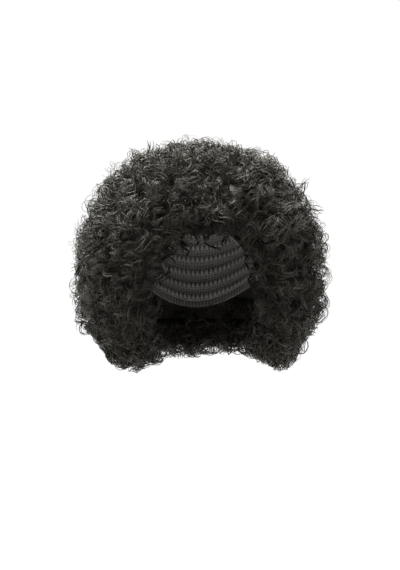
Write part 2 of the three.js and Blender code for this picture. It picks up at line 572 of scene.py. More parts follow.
@dataclass
class HairSurface:
    """Scatters places for curls evenly over the hair's outer, inner, lower and window sides."""

    form: WigForm
    seed: int
    tries_per_place: float = 6.0
    tries_for_area: float = 12.0
    probe: float = 1e-3
    crown_level: float = 0.02
    neck_level: float = 5.0
    last_level: float = ROW_COUNT - 0.01
    lower_level: float = ROW_COUNT - 0.2
    level_samples: int = 200
    outer_clear: float = 0.001
    lower_clear: float = 0.002
    lip_radius: float = 0.028
    band_room: float = 0.0175

    def __post_init__(self) -> None:
        """Starts the random draws."""
        self.draw = np.random.default_rng(self.seed)

    def _scatter(
        self,
        place: Callable[[np.ndarray, np.ndarray], np.ndarray],
        levels: tuple[float, float],
        spacing: float,
        outward: bool,
    ) -> Patch:
        """Scatters places over a surface given by turn and level, evenly by area.

        Args:
            place: Function of turns and levels that gives points.
            levels: Lowest and highest level.
            spacing: Distance between neighbours that the places are meant for.
            outward: Whether the normals point away from the head's middle.

        Returns:
            More places than the spacing has room for.
        """
        tries = int(4.0 * self.tries_per_place * self.form.half_width**2 * self.tries_for_area / spacing**2)
        turn = self.draw.uniform(0.0, FULL_TURN, tries)
        level = self.draw.uniform(*levels, tries)
        points = place(turn, level)
        along = (place(turn + self.probe, level) - points) / self.probe
        down = (place(turn, level + self.probe) - points) / self.probe
        cross = np.cross(down, along)
        area = np.linalg.norm(cross, axis=1)
        index = np.flatnonzero(self.draw.uniform(0.0, area.max(), tries) < area)
        normals = unit(cross[index])
        sense = np.sign(np.einsum("ij,ij->i", normals, points[index] - self.form.middle))
        normals *= (sense if outward else -sense)[:, None]
        return Patch(points[index], normals, level[index])

    def _thin(self, patch: Patch, spacing: float) -> Patch:
        """Drops places until no two are nearer to each other than a spacing.

        Args:
            patch: The places.
            spacing: Least distance between neighbours.

        Returns:
            The places that are left.
        """
        kept = np.empty_like(patch.points)
        chosen = []
        for index, point in enumerate(patch.points):
            near = ((kept[: len(chosen)] - point) ** 2).sum(axis=1)
            if not len(near) or near.min() > spacing**2:
                kept[len(chosen)] = point
                chosen.append(index)
        return patch.keep(np.array(chosen, dtype=int))

    def _round_lip(self, patch: Patch) -> Patch:
        """Draws the places near the face window back, so that the hair rounds in towards the head.

        Args:
            patch: Places on the outer form.

        Returns:
            All of them, moved and turned where they are near the window.
        """
        distance, way = self.form.from_window(patch.points)
        radius = self.lip_radius
        lean = np.clip((radius - distance) / radius, 0.0, 1.0) * (patch.points[:, 1] < 0.0)
        rise = np.sqrt(1.0 - lean**2)
        points = patch.points - patch.normals * (radius * (1.0 - rise))[:, None]
        normals = unit(patch.normals * rise[:, None] - way * lean[:, None])
        return Patch(points, normals, patch.levels)

    def outside(self, spacing: float) -> Patch:
        """Places on the outer form, clear of the face window.

        Args:
            spacing: Least distance between neighbours.

        Returns:
            The places.
        """
        patch = self._scatter(self.form.outer, (self.crown_level, ROW_COUNT), spacing, True)
        patch = self._round_lip(patch.keep(~self.form.in_window(patch.points, self.outer_clear)))
        return self._thin(patch, spacing)

    def inside(self, spacing: float) -> Patch:
        """Places on the hollow's wall below the cap, where hair hangs round the neck.

        Args:
            spacing: Least distance between neighbours.

        Returns:
            The places.
        """
        patch = self._scatter(self.form.inner, (self.neck_level, ROW_COUNT), spacing, False)
        turn = np.arctan2(patch.points[:, 0], -patch.points[:, 1])
        rim = self.form.inner(turn, self.form.rim_level(turn))[:, 2]
        below = patch.points[:, 2] < rim - self.band_room
        return self._thin(patch.keep(below & ~self.form.in_window(patch.points)), spacing)

    def underside(self, spacing: float) -> Patch:
        """Places on the lower edge, from the neck out to the outer form.

        Args:
            spacing: Least distance between neighbours.

        Returns:
            The places.
        """
        count = int(self.tries_per_place * 4.0 * self.form.half_width**2 / spacing**2)
        turn = self.draw.uniform(0.0, FULL_TURN, count)
        share = np.sqrt(self.draw.uniform(0.0, 1.0, count))[:, None]
        inner = self.form.inner(turn, np.full(count, float(ROW_COUNT)))
        outer = self.form.outer(turn, self.form.edge_level(turn))
        points = inner + (outer - inner) * share
        points[:, 2] = self.form.lower_edge(points[:, 0])
        along = np.stack([np.cos(turn), np.sin(turn), np.zeros(count)], axis=1)
        normals = unit(np.cross(along, outer - inner))
        normals *= -np.sign(normals[:, 2])[:, None]
        patch = Patch(points, normals, np.full(count, self.lower_level))
        return self._thin(patch.keep(~self.form.in_window(points, self.lower_clear)), spacing)

    def window_walls(self, spacing: float) -> Patch:
        """Places on the walls of the face window, from its outer edge back to the head.

        Args:
            spacing: Least distance between neighbours.

        Returns:
            The places.
        """
        form = self.form
        count = int(self.tries_per_place * 4.0 * form.window_height * form.front / spacing**2)
        corners = WINDOW_OUTLINE[:-1] * [form.window_half_width, form.window_height]
        lengths = np.linalg.norm(np.diff(corners, axis=0), axis=1)
        places = np.concatenate([[0.0], np.cumsum(lengths)])
        spot = self.draw.uniform(0.0, places[-1], count)
        x = np.interp(spot, places, corners[:, 0])
        z = -form.window_top - np.interp(spot, places, corners[:, 1])
        segment = np.clip(np.searchsorted(places, spot) - 1, 0, len(lengths) - 1)
        run = np.diff(corners, axis=0)[segment]
        normals = unit(np.stack([-run[:, 1], np.zeros(count), -run[:, 0]], axis=1))
        near = form.front_depth(HAIR_RINGS, x, z) - self.lip_radius
        far = np.maximum(form.front_depth(HEAD_RINGS, x, z), form.window_stop)
        y = -(near + (far - near) * self.draw.uniform(0.0, 1.0, count))
        side = np.where(self.draw.uniform(size=count) < 0.5, -1.0, 1.0)
        points = np.stack([x * side, y, z], axis=1)
        normals[:, 0] *= side
        rings = np.linspace(0.0, ROW_COUNT, self.level_samples)
        heights = form.outer(np.zeros_like(rings), rings)[:, 2]
        levels = np.interp(-z, -heights, np.linspace(0.0, self.last_level, self.level_samples))
        return self._thin(Patch(points, normals, levels), spacing)


@dataclass
class CurlStyle:
    """Sizes of one kind of curl. A pair is a lowest and a highest value."""

    coil_radius: tuple[float, float]
    turns: tuple[float, float]
    length: tuple[float, float]
    thickness: tuple[float, float]
    tip_depth: tuple[float, float]
    rise: tuple[float, float]
    droop: float
    rings: int
    clump: int = 1
    clump_spread: float = 0.0012
    wobble: float = 0.35
    # Factor on the shade of the curls' colour. Below one it darkens a whole kind of curl: painted shade on
    # the curls under the surface, round the neck, along the lower edge and face window and over the
    # forehead; the strays and arcs round the outline are darker as well.
    brightness: float = 1.0
    bend: float = 0.5
    tip_curl: float = 0.45
    crimp: float = 0.0003


@dataclass
class Curls:
    """Centre lines and radii of many curls, one row for each."""

    paths: np.ndarray
    radii: np.ndarray
    radials: np.ndarray
    shades: np.ndarray
    levels: np.ndarray

    def keep(self, mask: np.ndarray) -> Curls:
        """Picks curls.

        Args:
            mask: Which curls to pick.

        Returns:
            The curls that the mask selects.
        """
        return Curls(
            self.paths[mask], self.radii[mask], self.radials[mask], self.shades[mask], self.levels[mask]
        )


@dataclass
class CurlMaker:
    """Winds curls that stand at the places of a patch."""

    seed: int
    swirl_length: float = 0.075
    swirl_turn: float = 2.2
    heading_spread: float = 0.7
    upright: float = 0.2
    nudge: float = 0.01
    swell_length: float = 0.055
    swell_height: float = 0.0022
    looseness: tuple[float, float] = (0.5, 1.9)
    shade_spread: float = 0.16
    radius_spread: float = 0.12
    phase_spread: float = 0.30
    sink: float = 0.8
    pace: tuple[float, float] = (0.8, 1.9)
    fine_steps: int = 49
    least_step: float = 0.05
    wander: float = 0.25
    wander_pace: float = 0.43
    wander_beat: float = 3.0
    root_reach: float = 0.45
    reach_growth: float = 0.55
    reach_pace: float = 1.6
    closing_start: float = 0.6
    closing_run: float = 0.4
    crimp_waves: float = 1.8
    end_width: float = 0.55
    belly_width: float = 0.45
    belly_run: float = 1.05
    belly_power: float = 0.6
    tip_width: float = 0.45

    def __post_init__(self) -> None:
        """Starts the random draws and the fields that gather curls in tufts."""
        self.draw = np.random.default_rng(self.seed)
        self.swirl = SmoothNoise(self.seed + 1, self.swirl_length)
        self.swell = SmoothNoise(self.seed + 2, self.swell_length)

    def _range(self, limits: tuple[float, float], count: int) -> np.ndarray:
        """Draws a value between two limits for each curl."""
        return self.draw.uniform(*limits, count)

    def _shared(self, limits: tuple[float, float], clumps: int, members: int) -> np.ndarray:
        """Draws a value between two limits for each clump, and gives it to all its members."""
        return np.repeat(self._range(limits, clumps), members)

    @staticmethod
    def _turned(
        turns: np.ndarray, beat: np.ndarray, pace: np.ndarray, share: np.ndarray, wobble: float
    ) -> np.ndarray:
        """Angle that curls have turned by at shares of their length, wobble included."""
        return FULL_TURN * turns[:, None] * share + wobble * np.sin(beat + FULL_TURN * pace * share)

    def _even_steps(
        self, turns: np.ndarray, beat: np.ndarray, pace: np.ndarray, style: CurlStyle
    ) -> np.ndarray:
        """Shares along each curl that split its turning into even steps.

        Args:
            turns: Turns of each curl.
            beat: Phase of its wobble.
            pace: Waves of its wobble.
            style: Sizes of the curls.

        Returns:
            A row of rising shares from 0 to 1 for each curl.
        """
        fine = np.linspace(0.0, 1.0, self.fine_steps)
        turned = self._turned(turns, beat, pace, fine, style.wobble)
        progress = np.cumsum(np.abs(np.diff(turned, axis=1)) + self.least_step, axis=1)
        progress = np.concatenate([np.zeros((len(turns), 1)), progress], axis=1) / progress[:, -1:]
        even = np.linspace(0.0, 1.0, style.rings)
        return np.stack([np.interp(even, row, fine) for row in progress])

    def _axes(self, patch: Patch, style: CurlStyle) -> tuple[np.ndarray, np.ndarray, np.ndarray]:
        """Directions that the coil of each clump is wound round.

        Args:
            patch: Where the clumps of curls stand.
            style: Sizes of the curls.

        Returns:
            The axis of each coil, and two directions square to it and to each other.
        """
        clumps = len(patch.points)
        helper = np.cross(patch.normals, DOWN)
        flat = np.linalg.norm(helper, axis=1) < self.upright
        helper[flat] = np.cross(patch.normals[flat], [1.0, 0.0, 0.0])
        across = unit(helper)
        along = np.cross(across, patch.normals)
        swirl = self.swirl.at(patch.points) * self.swirl_turn
        heading = swirl + self.draw.normal(0.0, self.heading_spread, clumps)
        tangent = along * np.cos(heading)[:, None] + across * np.sin(heading)[:, None]
        rise = self._range(style.rise, clumps)[:, None]
        axis = unit(patch.normals * rise + tangent + DOWN * style.droop)
        first = unit(np.cross(axis, patch.normals + self.nudge * across))
        return axis, first, np.cross(axis, first)

    def _openness(
        self, angle: np.ndarray, beat: np.ndarray, share: np.ndarray, tip_curl: float
    ) -> tuple[np.ndarray, np.ndarray, np.ndarray]:
        """How wide the coils open along each curl.

        Args:
            angle: Angle that the curl has turned to.
            beat: Phase of its wobble.
            share: Shares along it.
            tip_curl: Share of the radius that it loses at the tip.

        Returns:
            Three factors of the coil's radius: a slow wander, the opening at the root and the
            closing at the tip.
        """
        wander = 1.0 + self.wander * np.sin(angle * self.wander_pace + beat * self.wander_beat)
        swing = np.sin(np.clip(share * self.reach_pace, 0.0, 1.0) * math.pi / 2.0)
        opening = self.root_reach + self.reach_growth * swing
        closing = np.clip((share - self.closing_start) / self.closing_run, 0.0, 1.0) ** 2
        return wander, opening, 1.0 - tip_curl * closing

    def _thickness(self, share: np.ndarray, style: CurlStyle) -> np.ndarray:
        """Draws how thick each curl is, and thins it towards its ends.

        Args:
            share: Shares along each curl.
            style: Sizes of the curls.

        Returns:
            A width for each curl and share.
        """
        width = self._range(style.thickness, len(share))[:, None]
        belly = np.sin(np.pi * np.clip(share * self.belly_run, 0.0, 1.0)) ** self.belly_power
        widths = width * (self.end_width + self.belly_width * belly)
        widths[:, -1] *= self.tip_width
        return widths

    def wind(self, patch: Patch, style: CurlStyle) -> Curls:
        """Winds the curls of one patch.

        Args:
            patch: Where the clumps of curls stand.
            style: Sizes of the curls.

        Returns:
            The curls, one clump's members next to each other.
        """
        axis, first, second = self._axes(patch, style)
        clumps, members = len(patch.points), style.clump
        count = clumps * members
        repeat = np.repeat(np.arange(clumps), members)
        length = self._shared(style.length, clumps, members)
        radius = self._shared(style.coil_radius, clumps, members)
        turns = self._shared(style.turns, clumps, members)
        phase = self._shared((0.0, FULL_TURN), clumps, members)
        hand = np.where(self._shared((0.0, 1.0), clumps, members) < 0.5, -1.0, 1.0)
        depth = self._shared(style.tip_depth, clumps, members)
        depth = depth - self.swell_height * self.swell.at(patch.points)[repeat]
        # Each clump's random tone, spread a little between its members, times the style's brightness, which
        # paints shade on some kinds of curl.
        shade = self._shared((0.0, 1.0), clumps, members)
        shade = np.clip(shade + self.draw.normal(0.0, self.shade_spread, count), 0.0, 1.0) * style.brightness
        loose = self._shared(self.looseness, clumps, members)
        radius = radius * (1.0 + self.draw.normal(0.0, self.radius_spread, count) * loose)
        phase = phase + self.draw.normal(0.0, self.phase_spread, count) * loose
        offset = self.draw.normal(0.0, style.clump_spread, (count, 3)) * loose[:, None] * (members > 1)

        normals, axis = patch.normals[repeat], axis[repeat]
        first, second = first[repeat], second[repeat]
        tip = patch.points[repeat] - normals * (depth + radius * self.sink)[:, None] + offset
        root = tip - axis * length[:, None]
        beat = self._shared((0.0, FULL_TURN), clumps, members)[:, None]
        pace = self._shared(self.pace, clumps, members)[:, None]
        share = self._even_steps(turns, beat, pace, style)
        angle = phase[:, None] + hand[:, None] * self._turned(turns, beat, pace, share, style.wobble)
        wander, opening, closing = self._openness(angle, beat, share, style.tip_curl)
        reach = radius[:, None] * wander * opening * closing
        side = np.cos(beat) * first + np.sin(beat) * second
        lean = self._shared((0.0, style.bend), clumps, members) * length
        bow = (side * lean[:, None])[:, None] * (share * share - share)[..., None]
        radials = first[:, None] * np.cos(angle)[..., None] + second[:, None] * np.sin(angle)[..., None]
        crimp = style.crimp * np.sin(FULL_TURN * self.crimp_waves * share + phase[:, None])
        paths = root[:, None] + axis[:, None] * (length[:, None] * share + crimp)[..., None]
        paths = paths + radials * reach[..., None] + bow
        widths = self._thickness(share, style)
        return Curls(paths, widths / 2.0, radials, shade, patch.levels[repeat])


@dataclass
class MeshParts:
    """Arrays of one mesh under construction."""

    points: list[np.ndarray] = field(default_factory=list)
    faces: list[np.ndarray] = field(default_factory=list)
    uvs: list[np.ndarray] = field(default_factory=list)
    shades: list[np.ndarray] = field(default_factory=list)
    slots: list[np.ndarray] = field(default_factory=list)
    size: int = 0

    def add(
        self,
        points: np.ndarray,
        faces: list[np.ndarray],
        uvs: list[np.ndarray],
        shades: np.ndarray,
        slot: int,
    ) -> None:
        """Adds closed bodies.

        Args:
            points: Corner points.
            faces: Arrays of faces, each with rows of three or four corner numbers.
            uvs: For each array of faces, the map coordinates of its corners.
            shades: Shade of each point.
            slot: Number of the material.
        """
        self.points.append(points)
        self.shades.append(shades)
        for rows, spots in zip(faces, uvs):
            self.faces.append(rows + self.size)
            self.uvs.append(spots.reshape(-1, 2))
            self.slots.append(np.full(len(rows), slot))
        self.size += len(points)

    def triangles(self) -> int:
        """Number of triangles so far."""
        return sum(len(rows) * (rows.shape[1] - 2) for rows in self.faces)

    def build(self, name: str, materials: list[bpy.types.Material]) -> bpy.types.Object:
        """Makes the mesh object.

        Args:
            name: Name of the object.
            materials: Its materials, in the order of the slot numbers.

        Returns:
            The object, linked to the scene and smooth shaded.
        """
        mesh = bpy.data.meshes.new(name)
        points = np.concatenate(self.points)
        totals = np.concatenate([np.full(len(rows), rows.shape[1]) for rows in self.faces])
        corners = np.concatenate([rows.reshape(-1) for rows in self.faces])
        mesh.vertices.add(len(points))
        mesh.vertices.foreach_set("co", points.astype(np.float32).reshape(-1))
        mesh.loops.add(len(corners))
        mesh.loops.foreach_set("vertex_index", corners.astype(np.int32))
        mesh.polygons.add(len(totals))
        starts = np.concatenate([[0], np.cumsum(totals)[:-1]])
        mesh.polygons.foreach_set("loop_start", starts.astype(np.int32))
        mesh.polygons.foreach_set("loop_total", totals.astype(np.int32))
        mesh.polygons.foreach_set("material_index", np.concatenate(self.slots).astype(np.int32))
        mesh.polygons.foreach_set("use_smooth", np.ones(len(totals), dtype=bool))
        layer = mesh.uv_layers.new(name=BAKE_UV)
        layer.data.foreach_set("uv", np.concatenate(self.uvs).astype(np.float32).reshape(-1))
        shade = mesh.attributes.new("shade", "FLOAT", "POINT")
        shade.data.foreach_set("value", np.concatenate(self.shades).astype(np.float32))
        mesh.update(calc_edges=True)
        mesh.validate()
        for material in materials:
            mesh.materials.append(material)
        return add_object(name, mesh)


@dataclass
class StrandMesher:
    """Turns the centre lines of curls into slim closed tubes."""

    sides: int = 3
    flatness: float = 0.7
    map_left: float = 0.30
    map_columns: int = 16
    strip_start: float = 0.1
    strip_run: float = 0.8
    strip_foot: float = 0.05
    strip_rise: float = 0.9
    end_base: float = 0.08
    end_shift: float = 0.91

    def mesh_all(self, groups: list[tuple[Curls, int]], parts: MeshParts) -> int:
        """Adds the tubes of several groups of curls, and gives each group its share of the map.

        Args:
            groups: The curls of each group, and the number of its material.
            parts: Mesh that takes the tubes.

        Returns:
            The number of curls.
        """
        total = sum(len(curls.shades) for curls, _ in groups)
        low = 0.0
        for curls, slot in groups:
            high = low + len(curls.shades) / max(1, total)
            self.mesh(curls, parts, slot, low, high)
            low = high
        return total

    def mesh(self, curls: Curls, parts: MeshParts, slot: int, map_low: float, map_high: float) -> None:
        """Adds a tube for each curl.

        Args:
            curls: The curls.
            parts: Mesh that takes the tubes.
            slot: Number of the material.
            map_low: Lowest map coordinate of the strips that the tubes are mapped to.
            map_high: Highest map coordinate of those strips.
        """
        count, rings = curls.paths.shape[:2]
        if count == 0:
            return
        tangents = unit(np.gradient(curls.paths, axis=1))
        outward = curls.radials - tangents * np.einsum("ijk,ijk->ij", curls.radials, tangents)[..., None]
        outward = unit(outward)
        beside = np.cross(tangents, outward)
        angles = np.arange(self.sides) * FULL_TURN / self.sides
        ring = (
            outward[:, :, None] * (np.cos(angles) * self.flatness)[:, None]
            + beside[:, :, None] * np.sin(angles)[:, None]
        )
        points = curls.paths[:, :, None] + ring * curls.radii[:, :, None, None]
        index = np.arange(count * rings * self.sides).reshape(count, rings, self.sides)
        after = np.roll(index, -1, axis=2)
        quads = np.stack([index[:, :-1], after[:, :-1], after[:, 1:], index[:, 1:]], axis=-1).reshape(-1, 4)
        roots = index[:, 0, ::-1].reshape(-1, self.sides)
        tips = index[:, -1].reshape(-1, self.sides)
        parts.add(
            points.reshape(-1, 3),
            [quads, roots, tips],
            self._map(count, rings, map_low, map_high),
            np.repeat(curls.shades, rings * self.sides),
            slot,
        )

    def _map(self, count: int, rings: int, low: float, high: float) -> list[np.ndarray]:
        """Map coordinates: a strip of its own for each tube, with its ends beside it.

        Args:
            count: Number of tubes.
            rings: Rings of points along each.
            low: Lowest map coordinate of the strips.
            high: Highest map coordinate of the strips.

        Returns:
            The coordinates of the corners of the sides, of the root ends and of the tip ends.
        """
        rows = math.ceil(count / self.map_columns)
        width = (1.0 - self.map_left) / self.map_columns
        height = (high - low) / rows
        number = np.arange(count)
        left = self.map_left + (number % self.map_columns) * width
        foot = low + (number // self.map_columns) * height
        run = self.strip_start + self.strip_run * np.linspace(0.0, 1.0, rings)
        rise = self.strip_foot + self.strip_rise * np.arange(self.sides + 1) / self.sides
        along = left[:, None] + width * run
        up = foot[:, None] + height * rise
        quads = corner_map(along[:, :-1, None], along[:, 1:, None], up[:, None, :-1], up[:, None, 1:])
        corner = np.array([[0.0, 0.0], [self.end_base, 0.0], [self.end_base / 2.0, 1.0]])
        root = np.stack([left[:, None] + width * corner[:, 0], foot[:, None] + height * corner[:, 1]], -1)
        tip = root + np.array([width * self.end_shift, 0.0])
        return [quads.reshape(-1, 2), root.reshape(-1, 2), tip.reshape(-1, 2)]


class NodeSheet:
    """Small helper that adds and links shader nodes."""

    def __init__(self, name: str) -> None:
        """Starts an empty material with a Principled shader.

        Args:
            name: Name of the material.
        """
        self.material = bpy.data.materials.new(name)
        self.material.use_nodes = True
        self.tree = self.material.node_tree
        self.shader = self.tree.nodes["Principled BSDF"]

    def add(self, kind: str, **settings: object) -> bpy.types.Node:
        """Adds a node.

        Args:
            kind: Blender's name of the node type.
            **settings: Values of its sockets by name with underscores, or of its properties.

        Returns:
            The node.
        """
        node = self.tree.nodes.new(kind)
        for key, value in settings.items():
            socket = node.inputs.get(key.replace("_", " "))
            if socket is not None:
                socket.default_value = value
            else:
                setattr(node, key, value)
        return node

    def link(self, source: bpy.types.NodeSocket, target: bpy.types.NodeSocket) -> None:
        """Links two sockets."""
        self.tree.links.new(source, target)

    def ramp(self, source: bpy.types.NodeSocket, stops: list[tuple[float, tuple]]) -> bpy.types.NodeSocket:
        """Adds a colour ramp.

        Args:
            source: Socket that drives it.
            stops: Places and colours.

        Returns:
            Its colour socket.
        """
        node = self.tree.nodes.new("ShaderNodeValToRGB")
        elements = node.color_ramp.elements
        while len(elements) < len(stops):
            elements.new(0.5)
        for element, (place, colour) in zip(elements, stops):
            element.position = place
            element.color = (*colour, 1.0)
        self.link(source, node.inputs["Fac"])
        return node.outputs["Color"]

    def bump(self, source: bpy.types.NodeSocket, distance: float, strength: float) -> None:
        """Sends a height through a bump node to the shader's normal.

        Args:
            source: Socket that gives the height.
            distance: Height in metres.
            strength: Share of it that shows.
        """
        node = self.add("ShaderNodeBump", Distance=distance, Strength=strength)
        self.link(source, node.inputs["Height"])
        self.link(node.outputs["Normal"], self.shader.inputs["Normal"])

    def surface(self, colour: bpy.types.NodeSocket, roughness: float, specular: float = 0.5) -> None:
        """Sets the shader's colour and gloss.

        Args:
            colour: Socket that gives the colour.
            roughness: How dull the surface is.
            specular: How strongly it reflects.
        """
        self.link(colour, self.shader.inputs["Base Color"])
        self.shader.inputs["Roughness"].default_value = roughness
        self.shader.inputs["Specular IOR Level"].default_value = specular


@dataclass(frozen=True)
class FibreFinish:
    """Glossy near-black synthetic fibre, lighter from curl to curl."""

    name: str = "curly_fibre"
    dark: tuple[float, float, float] = (0.0086, 0.0080, 0.0065)
    light: tuple[float, float, float] = (0.0245, 0.0224, 0.0178)
    roughness: float = 0.47
    specular: float = 0.215
    mottle_scale: float = 260.0
    mottle_share: float = 0.5
    shade_share: float = 0.75
    shade_shift: float = -0.12
    middle_tone: float = 0.36
    middle_stop: float = 0.6
    strand_scale: float = 1500.0
    strand_depth: float = 0.0002
    strand_relief: float = 0.4

    def material(self) -> bpy.types.Material:
        """Makes the material.

        Returns:
            The material.
        """
        sheet = NodeSheet(self.name)
        shade = sheet.add("ShaderNodeAttribute", attribute_name="shade")
        place = sheet.add("ShaderNodeTexCoord")
        mottle = sheet.add("ShaderNodeTexNoise", Scale=self.mottle_scale, Detail=3.0, Roughness=0.6)
        sheet.link(place.outputs["Object"], mottle.inputs["Vector"])
        blend = sheet.add("ShaderNodeMath", operation="MULTIPLY_ADD")
        blend.inputs[1].default_value = self.mottle_share
        sheet.link(mottle.outputs["Fac"], blend.inputs[0])
        own = sheet.add("ShaderNodeMath", operation="MULTIPLY_ADD")
        own.inputs[1].default_value = self.shade_share
        own.inputs[2].default_value = self.shade_shift
        sheet.link(shade.outputs["Fac"], own.inputs[0])
        sheet.link(own.outputs["Value"], blend.inputs[2])
        middle = tuple((low + high) * self.middle_tone for low, high in zip(self.dark, self.light))
        stops = [(0.0, self.dark), (self.middle_stop, middle), (1.0, self.light)]
        colour = sheet.ramp(blend.outputs["Value"], stops)
        strands = sheet.add("ShaderNodeTexNoise", Scale=self.strand_scale, Detail=2.0)
        sheet.link(place.outputs["Object"], strands.inputs["Vector"])
        sheet.bump(strands.outputs["Fac"], self.strand_depth, self.strand_relief)
        sheet.surface(colour, self.roughness, self.specular)
        return sheet.material


@dataclass(frozen=True)
class ShadedFibreFinish(FibreFinish):
    """The same fibre with painted shade: darker and duller, for the curls deep in the hair and round the
    face opening, where shade falls.
    """

    name: str = "shaded_fibre"
    dark: tuple[float, float, float] = (0.0056, 0.0052, 0.0043)
    light: tuple[float, float, float] = (0.0122, 0.0111, 0.0090)
    roughness: float = 0.42
    specular: float = 0.072


@dataclass(frozen=True)
class ShadedForeheadFibreFinish(FibreFinish):
    """The same fibre with painted full shade, for the thin curls that hang in front of the net."""

    name: str = "shaded_forehead_fibre"
    dark: tuple[float, float, float] = (0.0020, 0.0018, 0.0015)
    light: tuple[float, float, float] = (0.0060, 0.0055, 0.0045)
    roughness: float = 0.42
    specular: float = 0.03


@dataclass(frozen=True)
class ShadedUnderHairFinish:
    """Tangle of fibre that shows between the curls: the deeper hair, coloured darker than the curls' fibre
    with painted shade.
    """

    name: str = "shaded_fibre_tangle"
    dark: tuple[float, float, float] = (0.0028, 0.0026, 0.0022)
    light: tuple[float, float, float] = (0.0078, 0.0072, 0.0060)
    roughness: float = 0.8
    specular: float = 0.04
    twist_scale: float = 55.0
    twist: float = 0.03
    arc_scale: float = 130.0
    wave_scale: float = 95.0
    wave_distortion: float = 9.0
    wave_stops: tuple[float, float] = (0.35, 0.9)
    depth: float = 0.003

    def material(self) -> bpy.types.Material:
        """Makes the material.

        Returns:
            The material.
        """
        sheet = NodeSheet(self.name)
        place = sheet.add("ShaderNodeTexCoord")
        turmoil = sheet.add("ShaderNodeTexNoise", Scale=self.twist_scale, Detail=2.0)
        sheet.link(place.outputs["Object"], turmoil.inputs["Vector"])
        bend = sheet.add("ShaderNodeVectorMath", operation="MULTIPLY_ADD")
        bend.inputs[1].default_value = (self.twist,) * 3
        sheet.link(turmoil.outputs["Color"], bend.inputs[0])
        sheet.link(place.outputs["Object"], bend.inputs[2])
        arcs = sheet.add("ShaderNodeTexVoronoi", Scale=self.arc_scale, feature="DISTANCE_TO_EDGE")
        sheet.link(bend.outputs["Vector"], arcs.inputs["Vector"])
        waves = sheet.add(
            "ShaderNodeTexWave",
            Scale=self.wave_scale,
            Distortion=self.wave_distortion,
            Detail=3.0,
            Detail_Scale=2.0,
        )
        sheet.link(bend.outputs["Vector"], waves.inputs["Vector"])
        mix = sheet.add("ShaderNodeMath", operation="MULTIPLY")
        sheet.link(waves.outputs["Fac"], mix.inputs[0])
        sheet.link(arcs.outputs["Distance"], mix.inputs[1])
        colour = sheet.ramp(waves.outputs["Fac"], list(zip(self.wave_stops, (self.dark, self.light))))
        sheet.bump(mix.outputs["Value"], self.depth, 1.0)
        sheet.surface(colour, self.roughness, self.specular)
        return sheet.material


@dataclass(frozen=True)
class NetFinish:
    """Black stretch net of the cap, with strips sewn round it that carry the hair."""

    name: str = "stretch_net"
    thread: tuple[float, float, float] = (0.050, 0.048, 0.046)
    gap: tuple[float, float, float] = (0.005, 0.005, 0.005)
    strip: tuple[float, float, float] = (0.075, 0.072, 0.068)
    roughness: float = 0.75
    cells_round: float = 120.0
    cells_down: float = 75.0
    cell_spread: float = 0.35
    cell_stops: tuple[float, float] = (0.10, 0.26)
    stitches_round: float = 150.0
    stitch_distortion: float = 0.6
    stitch_stops: tuple[float, float] = (0.15, 0.7)
    depth: float = 0.0006
    relief: float = 0.7

    def material(self) -> bpy.types.Material:
        """Makes the material.

        Returns:
            The material.
        """
        sheet = NodeSheet(self.name)
        spots = sheet.add("ShaderNodeUVMap", uv_map=BAKE_UV)
        scale = sheet.add("ShaderNodeMapping")
        scale.inputs["Scale"].default_value = (self.cells_round, self.cells_down, 1.0)
        sheet.link(spots.outputs["UV"], scale.inputs["Vector"])
        cells = sheet.add("ShaderNodeTexVoronoi", Scale=1.0, feature="DISTANCE_TO_EDGE")
        cells.inputs["Randomness"].default_value = self.cell_spread
        sheet.link(scale.outputs["Vector"], cells.inputs["Vector"])
        net = sheet.ramp(cells.outputs["Distance"], list(zip(self.cell_stops, (self.thread, self.gap))))
        stitches = sheet.add(
            "ShaderNodeTexWave", Scale=self.stitches_round / FULL_TURN, Distortion=self.stitch_distortion
        )
        sheet.link(spots.outputs["UV"], stitches.inputs["Vector"])
        woven = sheet.ramp(stitches.outputs["Fac"], list(zip(self.stitch_stops, (self.gap, self.strip))))
        mark = sheet.add("ShaderNodeAttribute", attribute_name="shade")
        blend = sheet.add("ShaderNodeMix", data_type="RGBA")
        sheet.link(mark.outputs["Fac"], blend.inputs["Factor"])
        sheet.link(net, blend.inputs["A"])
        sheet.link(woven, blend.inputs["B"])
        height = sheet.add("ShaderNodeMath", operation="SUBTRACT")
        height.inputs[0].default_value = 1.0
        sheet.link(cells.outputs["Distance"], height.inputs[1])
        sheet.bump(height.outputs["Value"], self.depth, self.relief)
        sheet.surface(blend.outputs["Result"], self.roughness)
        return sheet.material


@dataclass(frozen=True)
class ElasticFinish:
    """Black ribbed elastic and the thread that sews it, with painted shade in the grooves between the ribs.
    """

    name: str = "ribbed_elastic"
    high: tuple[float, float, float] = (0.035, 0.034, 0.033)
    low: tuple[float, float, float] = (0.010, 0.010, 0.010)
    roughness: float = 0.7
    ribs_round: float = 190.0
    rib_distortion: float = 0.4
    rib_stops: tuple[float, float] = (0.2, 0.8)
    depth: float = 0.0008
    relief: float = 0.8

    def material(self) -> bpy.types.Material:
        """Makes the material.

        Returns:
            The material.
        """
        sheet = NodeSheet(self.name)
        spots = sheet.add("ShaderNodeUVMap", uv_map=BAKE_UV)
        ribs = sheet.add(
            "ShaderNodeTexWave", Scale=self.ribs_round / FULL_TURN, Distortion=self.rib_distortion
        )
        sheet.link(spots.outputs["UV"], ribs.inputs["Vector"])
        # The grooves between the ribs take the darker colour: painted shade.
        colour = sheet.ramp(ribs.outputs["Fac"], list(zip(self.rib_stops, (self.low, self.high))))
        sheet.bump(ribs.outputs["Fac"], self.depth, self.relief)
        sheet.surface(colour, self.roughness)
        return sheet.material


